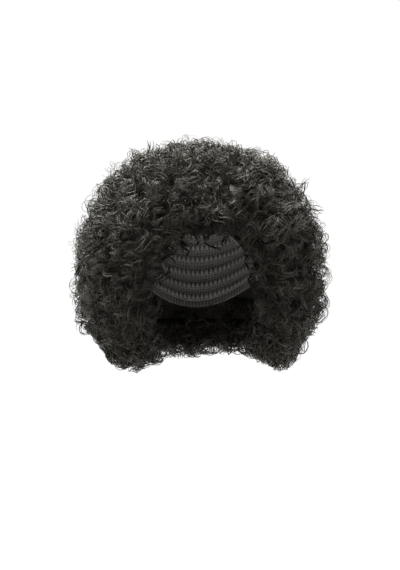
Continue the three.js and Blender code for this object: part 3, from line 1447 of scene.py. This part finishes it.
@dataclass
class HairRows:
    """The nine rows of curly hair that stand for the solids of the same number."""

    form: WigForm
    seed: int = 11
    outer_spacing: float = 0.0106
    under_spacing: float = 0.0158
    neck_spacing: float = 0.0100
    lower_spacing: float = 0.0099
    window_spacing: float = 0.0102
    shadow_reach: float = 0.060
    shadow_power: float = 0.8
    # Box beside the window (x above, z between) where the painted shade reaches a shorter way from the
    # window.
    bright_side: tuple[float, float, float] = (0.045, -0.135, -0.075)
    bright_side_share: float = 0.40
    base_inset: float = 0.0180
    cap_gap: float = 0.0024
    neck_inset: float = 0.017
    neck_run: float = 0.5
    lip_lift: float = 0.30
    lip_rise: float = 0.009
    lip_teeth: float = 0.009
    lump_length: float = 0.05
    lump_height: float = 0.003
    base_steps: int = 72
    outer_loops: int = 5
    inner_loops: int = 4
    upward_share: float = 0.3
    window_grow: float = 0.010
    window_reach: float = 1.4
    first_cut_row: int = 4
    row_trim: float = 0.008
    map_origin: tuple[float, float] = (0.01, 0.02)
    map_size: tuple[float, float] = (0.13, 0.96)
    map_radius: float = 0.17
    curl: CurlStyle = field(
        default_factory=lambda: CurlStyle(
            coil_radius=(0.0040, 0.0082),
            turns=(0.75, 1.5),
            length=(0.018, 0.032),
            thickness=(0.00055, 0.0011),
            tip_depth=(-0.004, 0.005),
            rise=(0.05, 0.60),
            droop=0.18,
            rings=12,
            clump=6,
            clump_spread=0.0021,
        )
    )
    under_curl: CurlStyle = field(
        default_factory=lambda: CurlStyle(
            coil_radius=(0.0040, 0.0070),
            turns=(0.5, 0.9),
            length=(0.020, 0.034),
            thickness=(0.0017, 0.0027),
            tip_depth=(0.005, 0.011),
            rise=(0.0, 0.25),
            droop=0.1,
            # Painted shade: the curls under the surface are darker.
            brightness=0.5,
            rings=8,
            clump=3,
            clump_spread=0.0030,
        )
    )
    edge_curl: CurlStyle = field(
        default_factory=lambda: CurlStyle(
            coil_radius=(0.0040, 0.0075),
            turns=(0.8, 1.5),
            length=(0.018, 0.030),
            thickness=(0.0006, 0.0011),
            tip_depth=(-0.004, 0.004),
            rise=(0.15, 0.50),
            droop=0.45,
            # Painted shade on the curls round the neck, along the lower edge and on the window walls.
            brightness=0.7,
            rings=11,
            clump=5,
            clump_spread=0.0018,
        )
    )
    lower_thickness: tuple[float, float] = (0.0009, 0.0016)
    lower_spread: float = 0.0028

    def build(self) -> None:
        """Builds one piece for each row, from the crown down."""
        surface = HairSurface(self.form, self.seed)
        maker = CurlMaker(self.seed + 5)
        lower_curl = replace(
            self.edge_curl, thickness=self.lower_thickness, clump_spread=self.lower_spread
        )
        sets = [
            maker.wind(surface.outside(self.outer_spacing), self.curl),
            maker.wind(surface.outside(self.under_spacing), self.under_curl),
            maker.wind(surface.inside(self.neck_spacing), self.edge_curl),
            maker.wind(surface.underside(self.lower_spacing), lower_curl),
            maker.wind(surface.window_walls(self.window_spacing), self.edge_curl),
        ]
        # The tangle and the shaded fibre are darker than the lit fibre: painted shade.
        materials = [finish.material() for finish in (FibreFinish(), ShadedUnderHairFinish(), ShadedFibreFinish())]
        lit, shaded = HairMaterial.LIT.value, HairMaterial.SHADED.value
        window = self._window_block()
        for row in range(ROW_COUNT):
            parts = MeshParts()
            self._add_base(parts, row, window)
            chosen = [self.form.fit(curls.keep(np.floor(curls.levels) == row)) for curls in sets]
            log.info("row %d: %s curls by side", row + 1, [len(curls.shades) for curls in chosen])
            outside, *edges = chosen
            # Outer curls near the face window, and all curls under the surface, round the neck, along the
            # lower edge and on the window walls, take the shaded fibre: painted shade.
            dim = self._in_shadow(outside)
            groups = [(outside.keep(~dim), lit), (outside.keep(dim), shaded)]
            groups += [(curls, shaded) for curls in edges]
            total = StrandMesher().mesh_all(groups, parts)
            name = f"curls_row_{row + 1}"
            piece = parts.build(name, materials)
            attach(piece, BODY)
            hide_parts(f"weft_row_{row + 1}")
            log.info("%s: %d curls, %d triangles", name, total, parts.triangles())
        bpy.data.objects.remove(window)

    def _in_shadow(self, curls: Curls) -> np.ndarray:
        """Which curls take the shaded fibre, painted shade: more of them, the nearer they are to the face
        window.

        Args:
            curls: Curls of the outer form.

        Returns:
            A mask over the curls.
        """
        middle = curls.paths.mean(axis=1)
        distance, _ = self.form.from_window(middle)
        side, low, high = self.bright_side
        bright = (middle[:, 0] > side) & (middle[:, 2] > low) & (middle[:, 2] < high)
        reach = self.shadow_reach * np.where(bright, self.bright_side_share, 1.0)
        nearness = np.clip(1.0 - distance / reach, 0.0, 1.0) * (middle[:, 1] < 0.0)
        draw = np.random.default_rng(self.seed + len(middle))
        return draw.uniform(0.0, 1.0, len(middle)) < nearness**self.shadow_power

    def _window_block(self) -> bpy.types.Object:
        """Makes a block of the face window's shape, a little larger all round.

        Returns:
            The block, which cuts the tangle open.
        """
        form, grow = self.form, self.window_grow
        half = WINDOW_OUTLINE[:, 0] * form.window_half_width + grow
        z = -form.window_top - WINDOW_OUTLINE[:, 1] * form.window_height + grow
        x = np.concatenate([half, -half[::-1]])
        z = np.concatenate([z, z[::-1]])
        near, far = -form.front * self.window_reach, -form.window_stop + grow
        count = len(x)
        points = [(x[i], near, z[i]) for i in range(count)] + [(x[i], far, z[i]) for i in range(count)]
        faces = [tuple(range(count)), tuple(range(2 * count - 1, count - 1, -1))]
        faces += [(i, i + count, (i + 1) % count + count, (i + 1) % count) for i in range(count)]
        mesh = bpy.data.meshes.new("window_block")
        mesh.from_pydata([tuple(map(float, point)) for point in points], [], faces)
        turn_outward(mesh)
        return add_object("window_block", mesh)

    def _offset_inner(self, turns: np.ndarray, level: float, offset: np.ndarray) -> np.ndarray:
        """Points of the head hollow at one level, pushed out.

        Args:
            turns: Turns from the face side, in radians.
            level: Level of the points.
            offset: Distance that the point at each turn is pushed out by.

        Returns:
            A point for each turn.
        """
        share = self.upward_share
        flush = self.form.inner(turns, np.full_like(turns, level))
        outward = unit(flush * [1.0, 1.0, share] + [0.0, 0.0, share * self.form.head_height])
        return flush + outward * offset[:, None]

    def _base_grid(self, row: int) -> np.ndarray:
        """Loops of points down a row's outer side and back up its inner side, under the curls.

        Args:
            row: Number of the row, 0 at the crown.

        Returns:
            The points, by step round the row and by loop.
        """
        top = row + (self.row_trim if row else 0.0)
        foot = row + 1 - self.row_trim
        foot -= self.lip_lift if row == ROW_COUNT - 1 else 0.0
        turns = np.arange(self.base_steps) * FULL_TURN / self.base_steps
        lumps = SmoothNoise(self.seed + 9, self.lump_length)
        loops = []
        for level in np.linspace(top, foot, self.outer_loops):
            spots = self.form.outer(turns, np.full_like(turns, level), self.base_inset)
            outward = unit(spots - self.form.middle)
            loops.append(spots + outward * lumps.at(spots)[:, None] * self.lump_height)
        rim = self.form.rim_level(turns)
        for level in np.linspace(foot, top, self.inner_loops):
            below = np.clip((level - rim) / self.neck_run, 0.0, 1.0)
            offset = self.cap_gap + (self.neck_inset - self.cap_gap) * below
            loops.append(self._offset_inner(turns, level, offset))
        grid = np.stack(loops, axis=1)
        teeth = np.random.default_rng(self.seed + 10).uniform(0.0, self.lip_teeth, len(turns))[:, None]
        lip = self.form.lower_edge(grid[..., 0]) + self.lip_rise + teeth
        grid[..., 2] = np.maximum(grid[..., 2], lip)
        return grid

    @staticmethod
    def _base_mesh(grid: np.ndarray, domed: bool) -> bpy.types.Mesh:
        """Makes the closed mesh of the tangle under a row.

        Args:
            grid: Its points, by step round the row and by loop.
            domed: Whether the first and last loop are each one point over the crown.

        Returns:
            The mesh, with its faces outwards.
        """
        mesh = bpy.data.meshes.new("base")
        steps, loops = grid.shape[:2]
        if domed:
            points = np.concatenate([grid[:, 1:-1].reshape(-1, 3), grid[:1, 0], grid[:1, -1]])
            quads, index, after = ring_faces(steps, loops - 2, closed=False)
            outer_top, inner_top = len(points) - 2, len(points) - 1
            tops = [(outer_top, int(a), int(b)) for a, b in zip(index[:, 0], after[:, 0])]
            tops += [(inner_top, int(b), int(a)) for a, b in zip(index[:, -1], after[:, -1])]
        else:
            points, tops = grid.reshape(-1, 3), []
            quads, _, _ = ring_faces(steps, loops, closed=True)
        mesh.from_pydata(points.tolist(), [], quads.reshape(-1, 4).tolist() + tops)
        turn_outward(mesh)
        return mesh

    def _add_base(self, parts: MeshParts, row: int, window: bpy.types.Object) -> None:
        """Adds the tangle under a row's curls, dark with painted shade, cut open at the face window.

        Args:
            parts: Mesh that takes the tangle.
            row: Number of the row, 0 at the crown.
            window: Block of the face window's shape.
        """
        base = add_object("base", self._base_mesh(self._base_grid(row), row == 0))
        if row >= self.first_cut_row:
            cut = base.modifiers.new("window", "BOOLEAN")
            cut.object = window
            cut.operation = "DIFFERENCE"
            cut.solver = "EXACT"
        triangulate = base.modifiers.new("triangles", "TRIANGULATE")
        triangulate.min_vertices = 4
        evaluated = base.evaluated_get(bpy.context.evaluated_depsgraph_get()).to_mesh()
        points = np.empty(len(evaluated.vertices) * 3)
        evaluated.vertices.foreach_get("co", points)
        points = points.reshape(-1, 3)
        corners = np.empty(len(evaluated.loops), dtype=np.int32)
        evaluated.loops.foreach_get("vertex_index", corners)
        faces = corners.reshape(-1, 3)
        turn = (np.arctan2(points[:, 0], -points[:, 1]) / FULL_TURN) % 1.0
        reach = np.clip(np.linalg.norm(points[:, :2], axis=1) / self.map_radius, 0.0, 1.0)
        (left, foot), (width, height) = self.map_origin, self.map_size
        spots = np.stack([left + width * turn, foot + height * reach], axis=1)
        parts.add(points, [faces], [spots[faces]], np.zeros(len(points)), HairMaterial.TANGLE.value)
        base.to_mesh_clear()
        bpy.data.objects.remove(base)


@dataclass
class LooseCurls:
    """Thin stray curls over the outline, and the few that hang over the forehead."""

    form: WigForm
    seed: int = 41
    stray_spacing: float = 0.0292
    arc_spacing: float = 0.0200
    window_clear: float = 0.022
    fringe_count: int = 30
    fringe_corners: int = 5
    fringe_depth: tuple[float, float] = (0.006, 0.040)
    fringe_inward: float = 0.4
    fringe_down: float = 0.05
    wisp_curls: int = 11
    wisp_spread: float = 0.0014
    wisp_stretch: tuple[float, float, float] = (0.8, 2.0, 0.6)
    wisp_height: float = 0.014
    stray: CurlStyle = field(
        default_factory=lambda: CurlStyle(
            coil_radius=(0.0055, 0.0100),
            turns=(0.45, 1.1),
            length=(0.012, 0.026),
            thickness=(0.0005, 0.0009),
            tip_depth=(-0.010, -0.001),
            rise=(0.4, 1.4),
            droop=0.1,
            rings=13,
            clump=2,
            clump_spread=0.0007,
            brightness=0.4,
            wobble=0.2,
            tip_curl=0.2,
            crimp=0.0007,
        )
    )
    arc: CurlStyle = field(
        default_factory=lambda: CurlStyle(
            coil_radius=(0.0080, 0.0125),
            turns=(0.45, 0.80),
            length=(0.006, 0.018),
            thickness=(0.00045, 0.0008),
            tip_depth=(-0.0045, 0.001),
            rise=(0.0, 0.5),
            droop=0.1,
            rings=13,
            clump=2,
            clump_spread=0.0009,
            brightness=0.4,
            wobble=0.1,
            bend=0.3,
            tip_curl=0.1,
            crimp=0.0008,
        )
    )
    fringe: CurlStyle = field(
        default_factory=lambda: CurlStyle(
            coil_radius=(0.0045, 0.0080),
            turns=(0.8, 1.4),
            length=(0.026, 0.038),
            thickness=(0.0010, 0.0015),
            tip_depth=(-0.030, -0.009),
            rise=(0.6, 1.2),
            droop=1.6,
            rings=17,
            clump=4,
            clump_spread=0.0005,
            # Painted shade: the fringe curls over the forehead are much darker.
            brightness=0.1,
            bend=0.8,
        )
    )
    wisp: CurlStyle = field(
        default_factory=lambda: CurlStyle(
            coil_radius=(0.0026, 0.0060),
            turns=(0.35, 0.8),
            length=(0.022, 0.030),
            thickness=(0.0009, 0.0014),
            tip_depth=(-0.018, -0.006),
            rise=(1.4, 3.6),
            droop=0.0,
            rings=14,
            wobble=0.2,
            tip_curl=0.2,
        )
    )

    def build(self) -> None:
        """Builds the two pieces."""
        surface = HairSurface(self.form, self.seed)
        maker = CurlMaker(self.seed + 5)
        fibre = FibreFinish(name="stray_fibre").material()
        shaded_forehead_fibre = ShadedForeheadFibreFinish().material()
        loose = [
            maker.wind(self._away(surface.outside(self.stray_spacing)), self.stray),
            maker.wind(self._away(surface.outside(self.arc_spacing)), self.arc),
            maker.wind(self._wisp_patch(), self.wisp),
        ]
        self._piece("stray_curls", [self.form.fit(curls) for curls in loose], fibre)
        fringe = CurlMaker(self.seed + 7).wind(self._fringe_patch(), self.fringe)
        self._piece("fringe_curls", [self.form.fit(fringe)], shaded_forehead_fibre)

    def _away(self, patch: Patch) -> Patch:
        """The places of a patch that are clear of the face window's edge."""
        distance, _ = self.form.from_window(patch.points)
        return patch.keep((distance > self.window_clear) | (patch.points[:, 1] > 0.0))

    def _fringe_patch(self) -> Patch:
        """Places along the upper edge of the face window, where curls hang over the forehead.

        Returns:
            The places.
        """
        draw = np.random.default_rng(self.seed + 2)
        count, form = self.fringe_count, self.form
        corners = WINDOW_OUTLINE[: self.fringe_corners] * [form.window_half_width, form.window_height]
        run = np.concatenate([[0.0], np.cumsum(np.linalg.norm(np.diff(corners, axis=0), axis=1))])
        spot = run[-1] * (np.arange(count) + draw.uniform(0.0, 1.0, count)) / count
        side = np.where(draw.uniform(size=count) < 0.5, -1.0, 1.0)
        x = np.interp(spot, run, corners[:, 0]) * side
        z = -form.window_top - np.interp(spot, run, corners[:, 1])
        y = -form.front_depth(HAIR_RINGS, x, z) + draw.uniform(*self.fringe_depth, count)
        down = np.full(count, -self.fringe_down)
        normals = unit(np.stack([-x * self.fringe_inward, np.zeros(count), down], axis=1))
        return Patch(np.stack([x, y, z], axis=1), normals, np.zeros(count))

    def _wisp_patch(self) -> Patch:
        """Places of the curls that stand up in wisps along the outline.

        Returns:
            The places.
        """
        draw = np.random.default_rng(self.seed + 3)
        count = len(WISP_TIPS) * self.wisp_curls
        spots = np.repeat(WISP_TIPS, self.wisp_curls, axis=0)
        tips = np.stack([spots[:, 0], np.zeros(count), spots[:, 1]], axis=1)
        normals = unit(tips - self.form.middle)
        points = tips - normals * self.wisp_height
        points += draw.normal(0.0, 1.0, (count, 3)) * self.wisp_spread * self.wisp_stretch
        return Patch(points, normals, np.zeros(count))

    def _piece(self, name: str, sets: list[Curls], material: bpy.types.Material) -> None:
        """Makes one piece from sets of loose curls.

        Args:
            name: Name of the piece.
            sets: The curls.
            material: Their material.
        """
        parts = MeshParts()
        total = StrandMesher(map_left=0.0).mesh_all([(curls, 0) for curls in sets], parts)
        piece = parts.build(name, [material])
        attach(piece, BODY)
        log.info("%s: %d curls, %d triangles", name, total, parts.triangles())


@dataclass
class Cap:
    """The stretch net cap with its sewn rows, and the elastic band at its rim."""

    form: WigForm
    wall: float = CAP_WALL
    steps: int = 120
    outer_bands: int = 12
    outer_map: float = 0.28
    inner_map_start: float = 0.30
    inner_map_run: float = 0.70
    wefts: int = 11
    weft_shift: float = 0.4
    weft_share: float = 0.014
    weft_edge: float = 0.004
    weft_height: float = 0.0006
    band_gap: float = 0.0003
    band_width: float = 0.010
    band_wall: float = 0.0024

    def build(self) -> None:
        """Builds the cap and the band."""
        net = NetFinish().material()
        elastic = ElasticFinish().material()
        turns = np.arange(self.steps) * FULL_TURN / self.steps
        rim = self.form.rim_level(turns)
        parts = MeshParts()
        outer_shares = np.linspace(0.0, 1.0, self.outer_bands + 1)[1:]
        inner_shares, raised = self._weft_profile()
        loops = [self.form.inner(turns, rim * share, self.wall) for share in outer_shares]
        loops += [
            self.form.inner(turns, rim * share, -self.weft_height * high)
            for share, high in zip(inner_shares, raised)
        ]
        inner_down = self.inner_map_start + (1.0 - inner_shares) * self.inner_map_run
        down = np.concatenate([outer_shares * self.outer_map, inner_down])
        marks = np.concatenate([np.zeros(len(outer_shares)), raised])
        self._shell(parts, loops, down, True, marks)
        piece = parts.build("net_cap", [net])
        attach(piece, BODY)
        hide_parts("cap")
        log.info("net_cap: %d triangles", parts.triangles())
        self._band(turns, rim, elastic)

    def _weft_profile(self) -> tuple[np.ndarray, np.ndarray]:
        """Lays out the strips that are sewn to the cap's inner side.

        Returns:
            Shares down the cap, from the rim up, and for each whether it lies on a strip.
        """
        shares, raised = [1.0], [0.0]
        for weft in range(self.wefts, 0, -1):
            middle = (weft - self.weft_shift) / self.wefts
            half, edge = self.weft_share, self.weft_edge
            shares += [middle + half + edge, middle + half, middle - half, middle - half - edge]
            raised += [0.0, 1.0, 1.0, 0.0]
        return np.array(shares), np.array(raised)

    def _shell(
        self, parts: MeshParts, loops: list[np.ndarray], down: np.ndarray, domed: bool, marks: np.ndarray
    ) -> None:
        """Adds a swept shell from loops of points that go round it.

        Args:
            parts: Mesh that takes the shell.
            loops: Loops of points, outer side first.
            down: Map coordinate of each loop.
            domed: Whether the first and last loop close to points on the axis.
            marks: Shade of each loop.
        """
        grid = np.stack(loops, axis=1)
        steps, count = grid.shape[:2]
        quads, index, after = ring_faces(steps, count, closed=not domed)
        around = np.arange(steps + 1) / steps
        low, high = (down[:-1], down[1:]) if domed else (down, np.append(down[1:], 1.0))
        spots = corner_map(around[:-1, None], around[1:, None], low, high)
        points = grid.reshape(-1, 3)
        shades = np.tile(marks, steps)
        faces, uvs = [quads.reshape(-1, 4)], [spots.reshape(-1, 2)]
        if domed:
            poles = np.array([[0.0, 0.0, self.wall], [0.0, 0.0, 0.0]])
            points = np.concatenate([points, poles])
            shades = np.concatenate([shades, [0.0, 0.0]])
            first = np.full(steps, len(points) - 2)
            last = np.full(steps, len(points) - 1)
            faces.append(np.stack([first, index[:, 0], after[:, 0]], axis=-1))
            faces.append(np.stack([last, after[:, -1], index[:, -1]], axis=-1))
            for edge, pole, order in ((down[0], 0.0, 1), (down[-1], 1.0, -1)):
                tip = np.stack([(around[:-1] + around[1:]) / 2, np.full(steps, pole)], -1)
                left = np.stack([around[:-1], np.full(steps, edge)], -1)
                right = np.stack([around[1:], np.full(steps, edge)], -1)
                uvs.append(np.stack([tip, *([left, right][::order])], axis=1).reshape(-1, 2))
        parts.add(points, faces, uvs, shades, 0)

    def _band(self, turns: np.ndarray, rim: np.ndarray, material: bpy.types.Material) -> None:
        """Builds the elastic band, padded between its two rows of stitches.

        Args:
            turns: Turns from the face side, in radians.
            rim: Level of the cap's rim at each turn.
            material: The band's material.
        """
        form = self.form
        step = np.linalg.norm(form.inner(turns, rim) - form.inner(turns, rim + 1.0), axis=1)
        top = rim + self.band_gap / step
        foot = top + self.band_width / step
        inside = self.wall - self.band_wall
        # Share down the band, and height over the cap's inner face: down the outer side, then
        # back up the inner side, which dips at the two rows of stitches.
        profile = [
            (0.00, self.wall * 0.7),
            (0.12, self.wall),
            (0.50, self.wall),
            (0.88, self.wall),
            (1.00, self.wall * 0.6),
            (1.00, inside * 0.2),
            (0.90, inside),
            (0.74, inside * 0.55),
            (0.50, inside),
            (0.26, inside * 0.55),
            (0.10, inside),
            (0.00, inside * 0.2),
        ]
        loops = [form.inner(turns, top + (foot - top) * share, offset) for share, offset in profile]
        parts = MeshParts()
        down = np.linspace(0.0, 1.0, len(profile) + 1)[:-1]
        self._shell(parts, loops, down, False, np.zeros(len(profile)))
        piece = parts.build("elastic_edge", [material])
        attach(piece, BODY)
        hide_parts("edge_band")
        log.info("elastic_edge: %d triangles", parts.triangles())


@dataclass(frozen=True)
class Lamp:
    """A square soft light: its name, its place, the length of its sides and its power in watts."""

    name: str
    place: tuple[float, float, float]
    size: float
    power: float


@dataclass
class Studio:
    """Pale floor, soft lights and the camera."""

    floor_height: float = -0.52
    floor_radius: float = 2.6
    floor_corners: int = 96
    floor_tones: tuple[float, float] = (0.86, 0.90)
    floor_roughness: float = 0.9
    camera_distance: float = 2.0
    camera_height: float = -0.118
    camera_azimuth: float = -4.0
    aim: tuple[float, float] = (-0.0006, 0.0)
    lens: float = 99.0
    sensor: float = 36.0
    front_strength: float = 0.40
    side_fade: float = 0.40
    fade_range: tuple[float, float] = (-0.95, 0.35)
    lamp_tint: tuple[float, float, float] = (1.0, 0.965, 0.89)
    lamps: tuple[Lamp, ...] = (
        Lamp("key", (-1.1, -0.7, 1.5), 0.5, 64.0),
        Lamp("fill", (1.0, -1.3, 0.1), 0.6, 22.0),
        Lamp("crown", (-0.24, 0.22, 1.25), 0.8, 140.0),
    )

    def build(self) -> None:
        """Builds the floor, the lights and the camera."""
        self._floor()
        self._world()
        for lamp in self.lamps:
            self._light(lamp)
        self._camera()

    def _floor(self) -> None:
        """Makes the round pale floor."""
        count = self.floor_corners
        turns = np.arange(count) * FULL_TURN / count
        mesh = bpy.data.meshes.new("floor")
        points = [
            (self.floor_radius * math.cos(turn), self.floor_radius * math.sin(turn), self.floor_height)
            for turn in turns
        ]
        mesh.from_pydata(points, [], [tuple(range(count))])
        floor = add_object("floor", mesh)
        sheet = NodeSheet("pale_floor")
        place = sheet.add("ShaderNodeTexCoord")
        grain = sheet.add("ShaderNodeTexNoise", Scale=3.0, Detail=2.0)
        sheet.link(place.outputs["Object"], grain.inputs["Vector"])
        low, high = self.floor_tones
        colour = sheet.ramp(grain.outputs["Fac"], [(0.0, (low,) * 3), (1.0, (high,) * 3)])
        sheet.surface(colour, self.floor_roughness)
        mesh.materials.append(sheet.material)

    def _world(self) -> None:
        """Lights the scene softly from a white surround, dimmer towards the front and one side."""
        world = bpy.data.worlds.new("studio")
        world.use_nodes = True
        nodes, links = world.node_tree.nodes, world.node_tree.links
        place = nodes.new("ShaderNodeTexCoord")
        parts = nodes.new("ShaderNodeSeparateXYZ")
        slant = nodes.new("ShaderNodeMath")
        slant.operation = "MULTIPLY_ADD"
        slant.inputs[1].default_value = -self.side_fade
        fade = nodes.new("ShaderNodeMapRange")
        fade.inputs["From Min"].default_value = self.fade_range[0]
        fade.inputs["From Max"].default_value = self.fade_range[1]
        fade.inputs["To Min"].default_value = self.front_strength
        fade.inputs["To Max"].default_value = 1.0
        links.new(place.outputs["Generated"], parts.inputs["Vector"])
        links.new(parts.outputs["X"], slant.inputs[0])
        links.new(parts.outputs["Y"], slant.inputs[2])
        links.new(slant.outputs["Value"], fade.inputs["Value"])
        links.new(fade.outputs["Result"], nodes["Background"].inputs["Strength"])
        nodes["Background"].inputs["Color"].default_value = (1.0, 1.0, 1.0, 1.0)
        bpy.context.scene.world = world
        bpy.context.scene.view_settings.view_transform = "Standard"

    def _light(self, lamp: Lamp) -> None:
        """Adds a soft area light that looks at the wig.

        Args:
            lamp: Its name, place, size and power.
        """
        data = bpy.data.lights.new(lamp.name, "AREA")
        data.size = lamp.size
        data.energy = lamp.power
        data.color = self.lamp_tint
        light = add_object(lamp.name, data)
        light.location = lamp.place
        aim = Vector((0.0, 0.0, self.camera_height)) - light.location
        light.rotation_euler = aim.to_track_quat("-Z", "Y").to_euler()

    def _camera(self) -> None:
        """Places the camera level with the face window, a little to the left of the wig's front."""
        data = bpy.data.cameras.new("camera")
        data.lens = self.lens
        data.sensor_width = self.sensor
        camera = add_object("camera", data)
        azimuth = math.radians(self.camera_azimuth)
        aim = Vector((self.aim[0], self.aim[1], self.camera_height))
        back = Vector((math.sin(azimuth), -math.cos(azimuth), 0.0))
        camera.location = aim + back * self.camera_distance
        camera.rotation_euler = (-back).to_track_quat("-Z", "Y").to_euler()
        bpy.context.scene.camera = camera


def clear_scene() -> None:
    """Removes whatever the file started with."""
    for thing in list(bpy.data.objects):
        bpy.data.objects.remove(thing)


def main() -> None:
    """Builds the wig's pieces in order, then the studio."""
    logging.basicConfig(level=logging.INFO, format="%(name)s: %(message)s", stream=sys.stdout)
    clear_scene()
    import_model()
    form = WigForm.from_frame()
    log.info("form: %s", form)
    Studio().build()
    Cap(form).build()
    HairRows(form).build()
    LooseCurls(form).build()


if __name__ == "__main__":
    main()
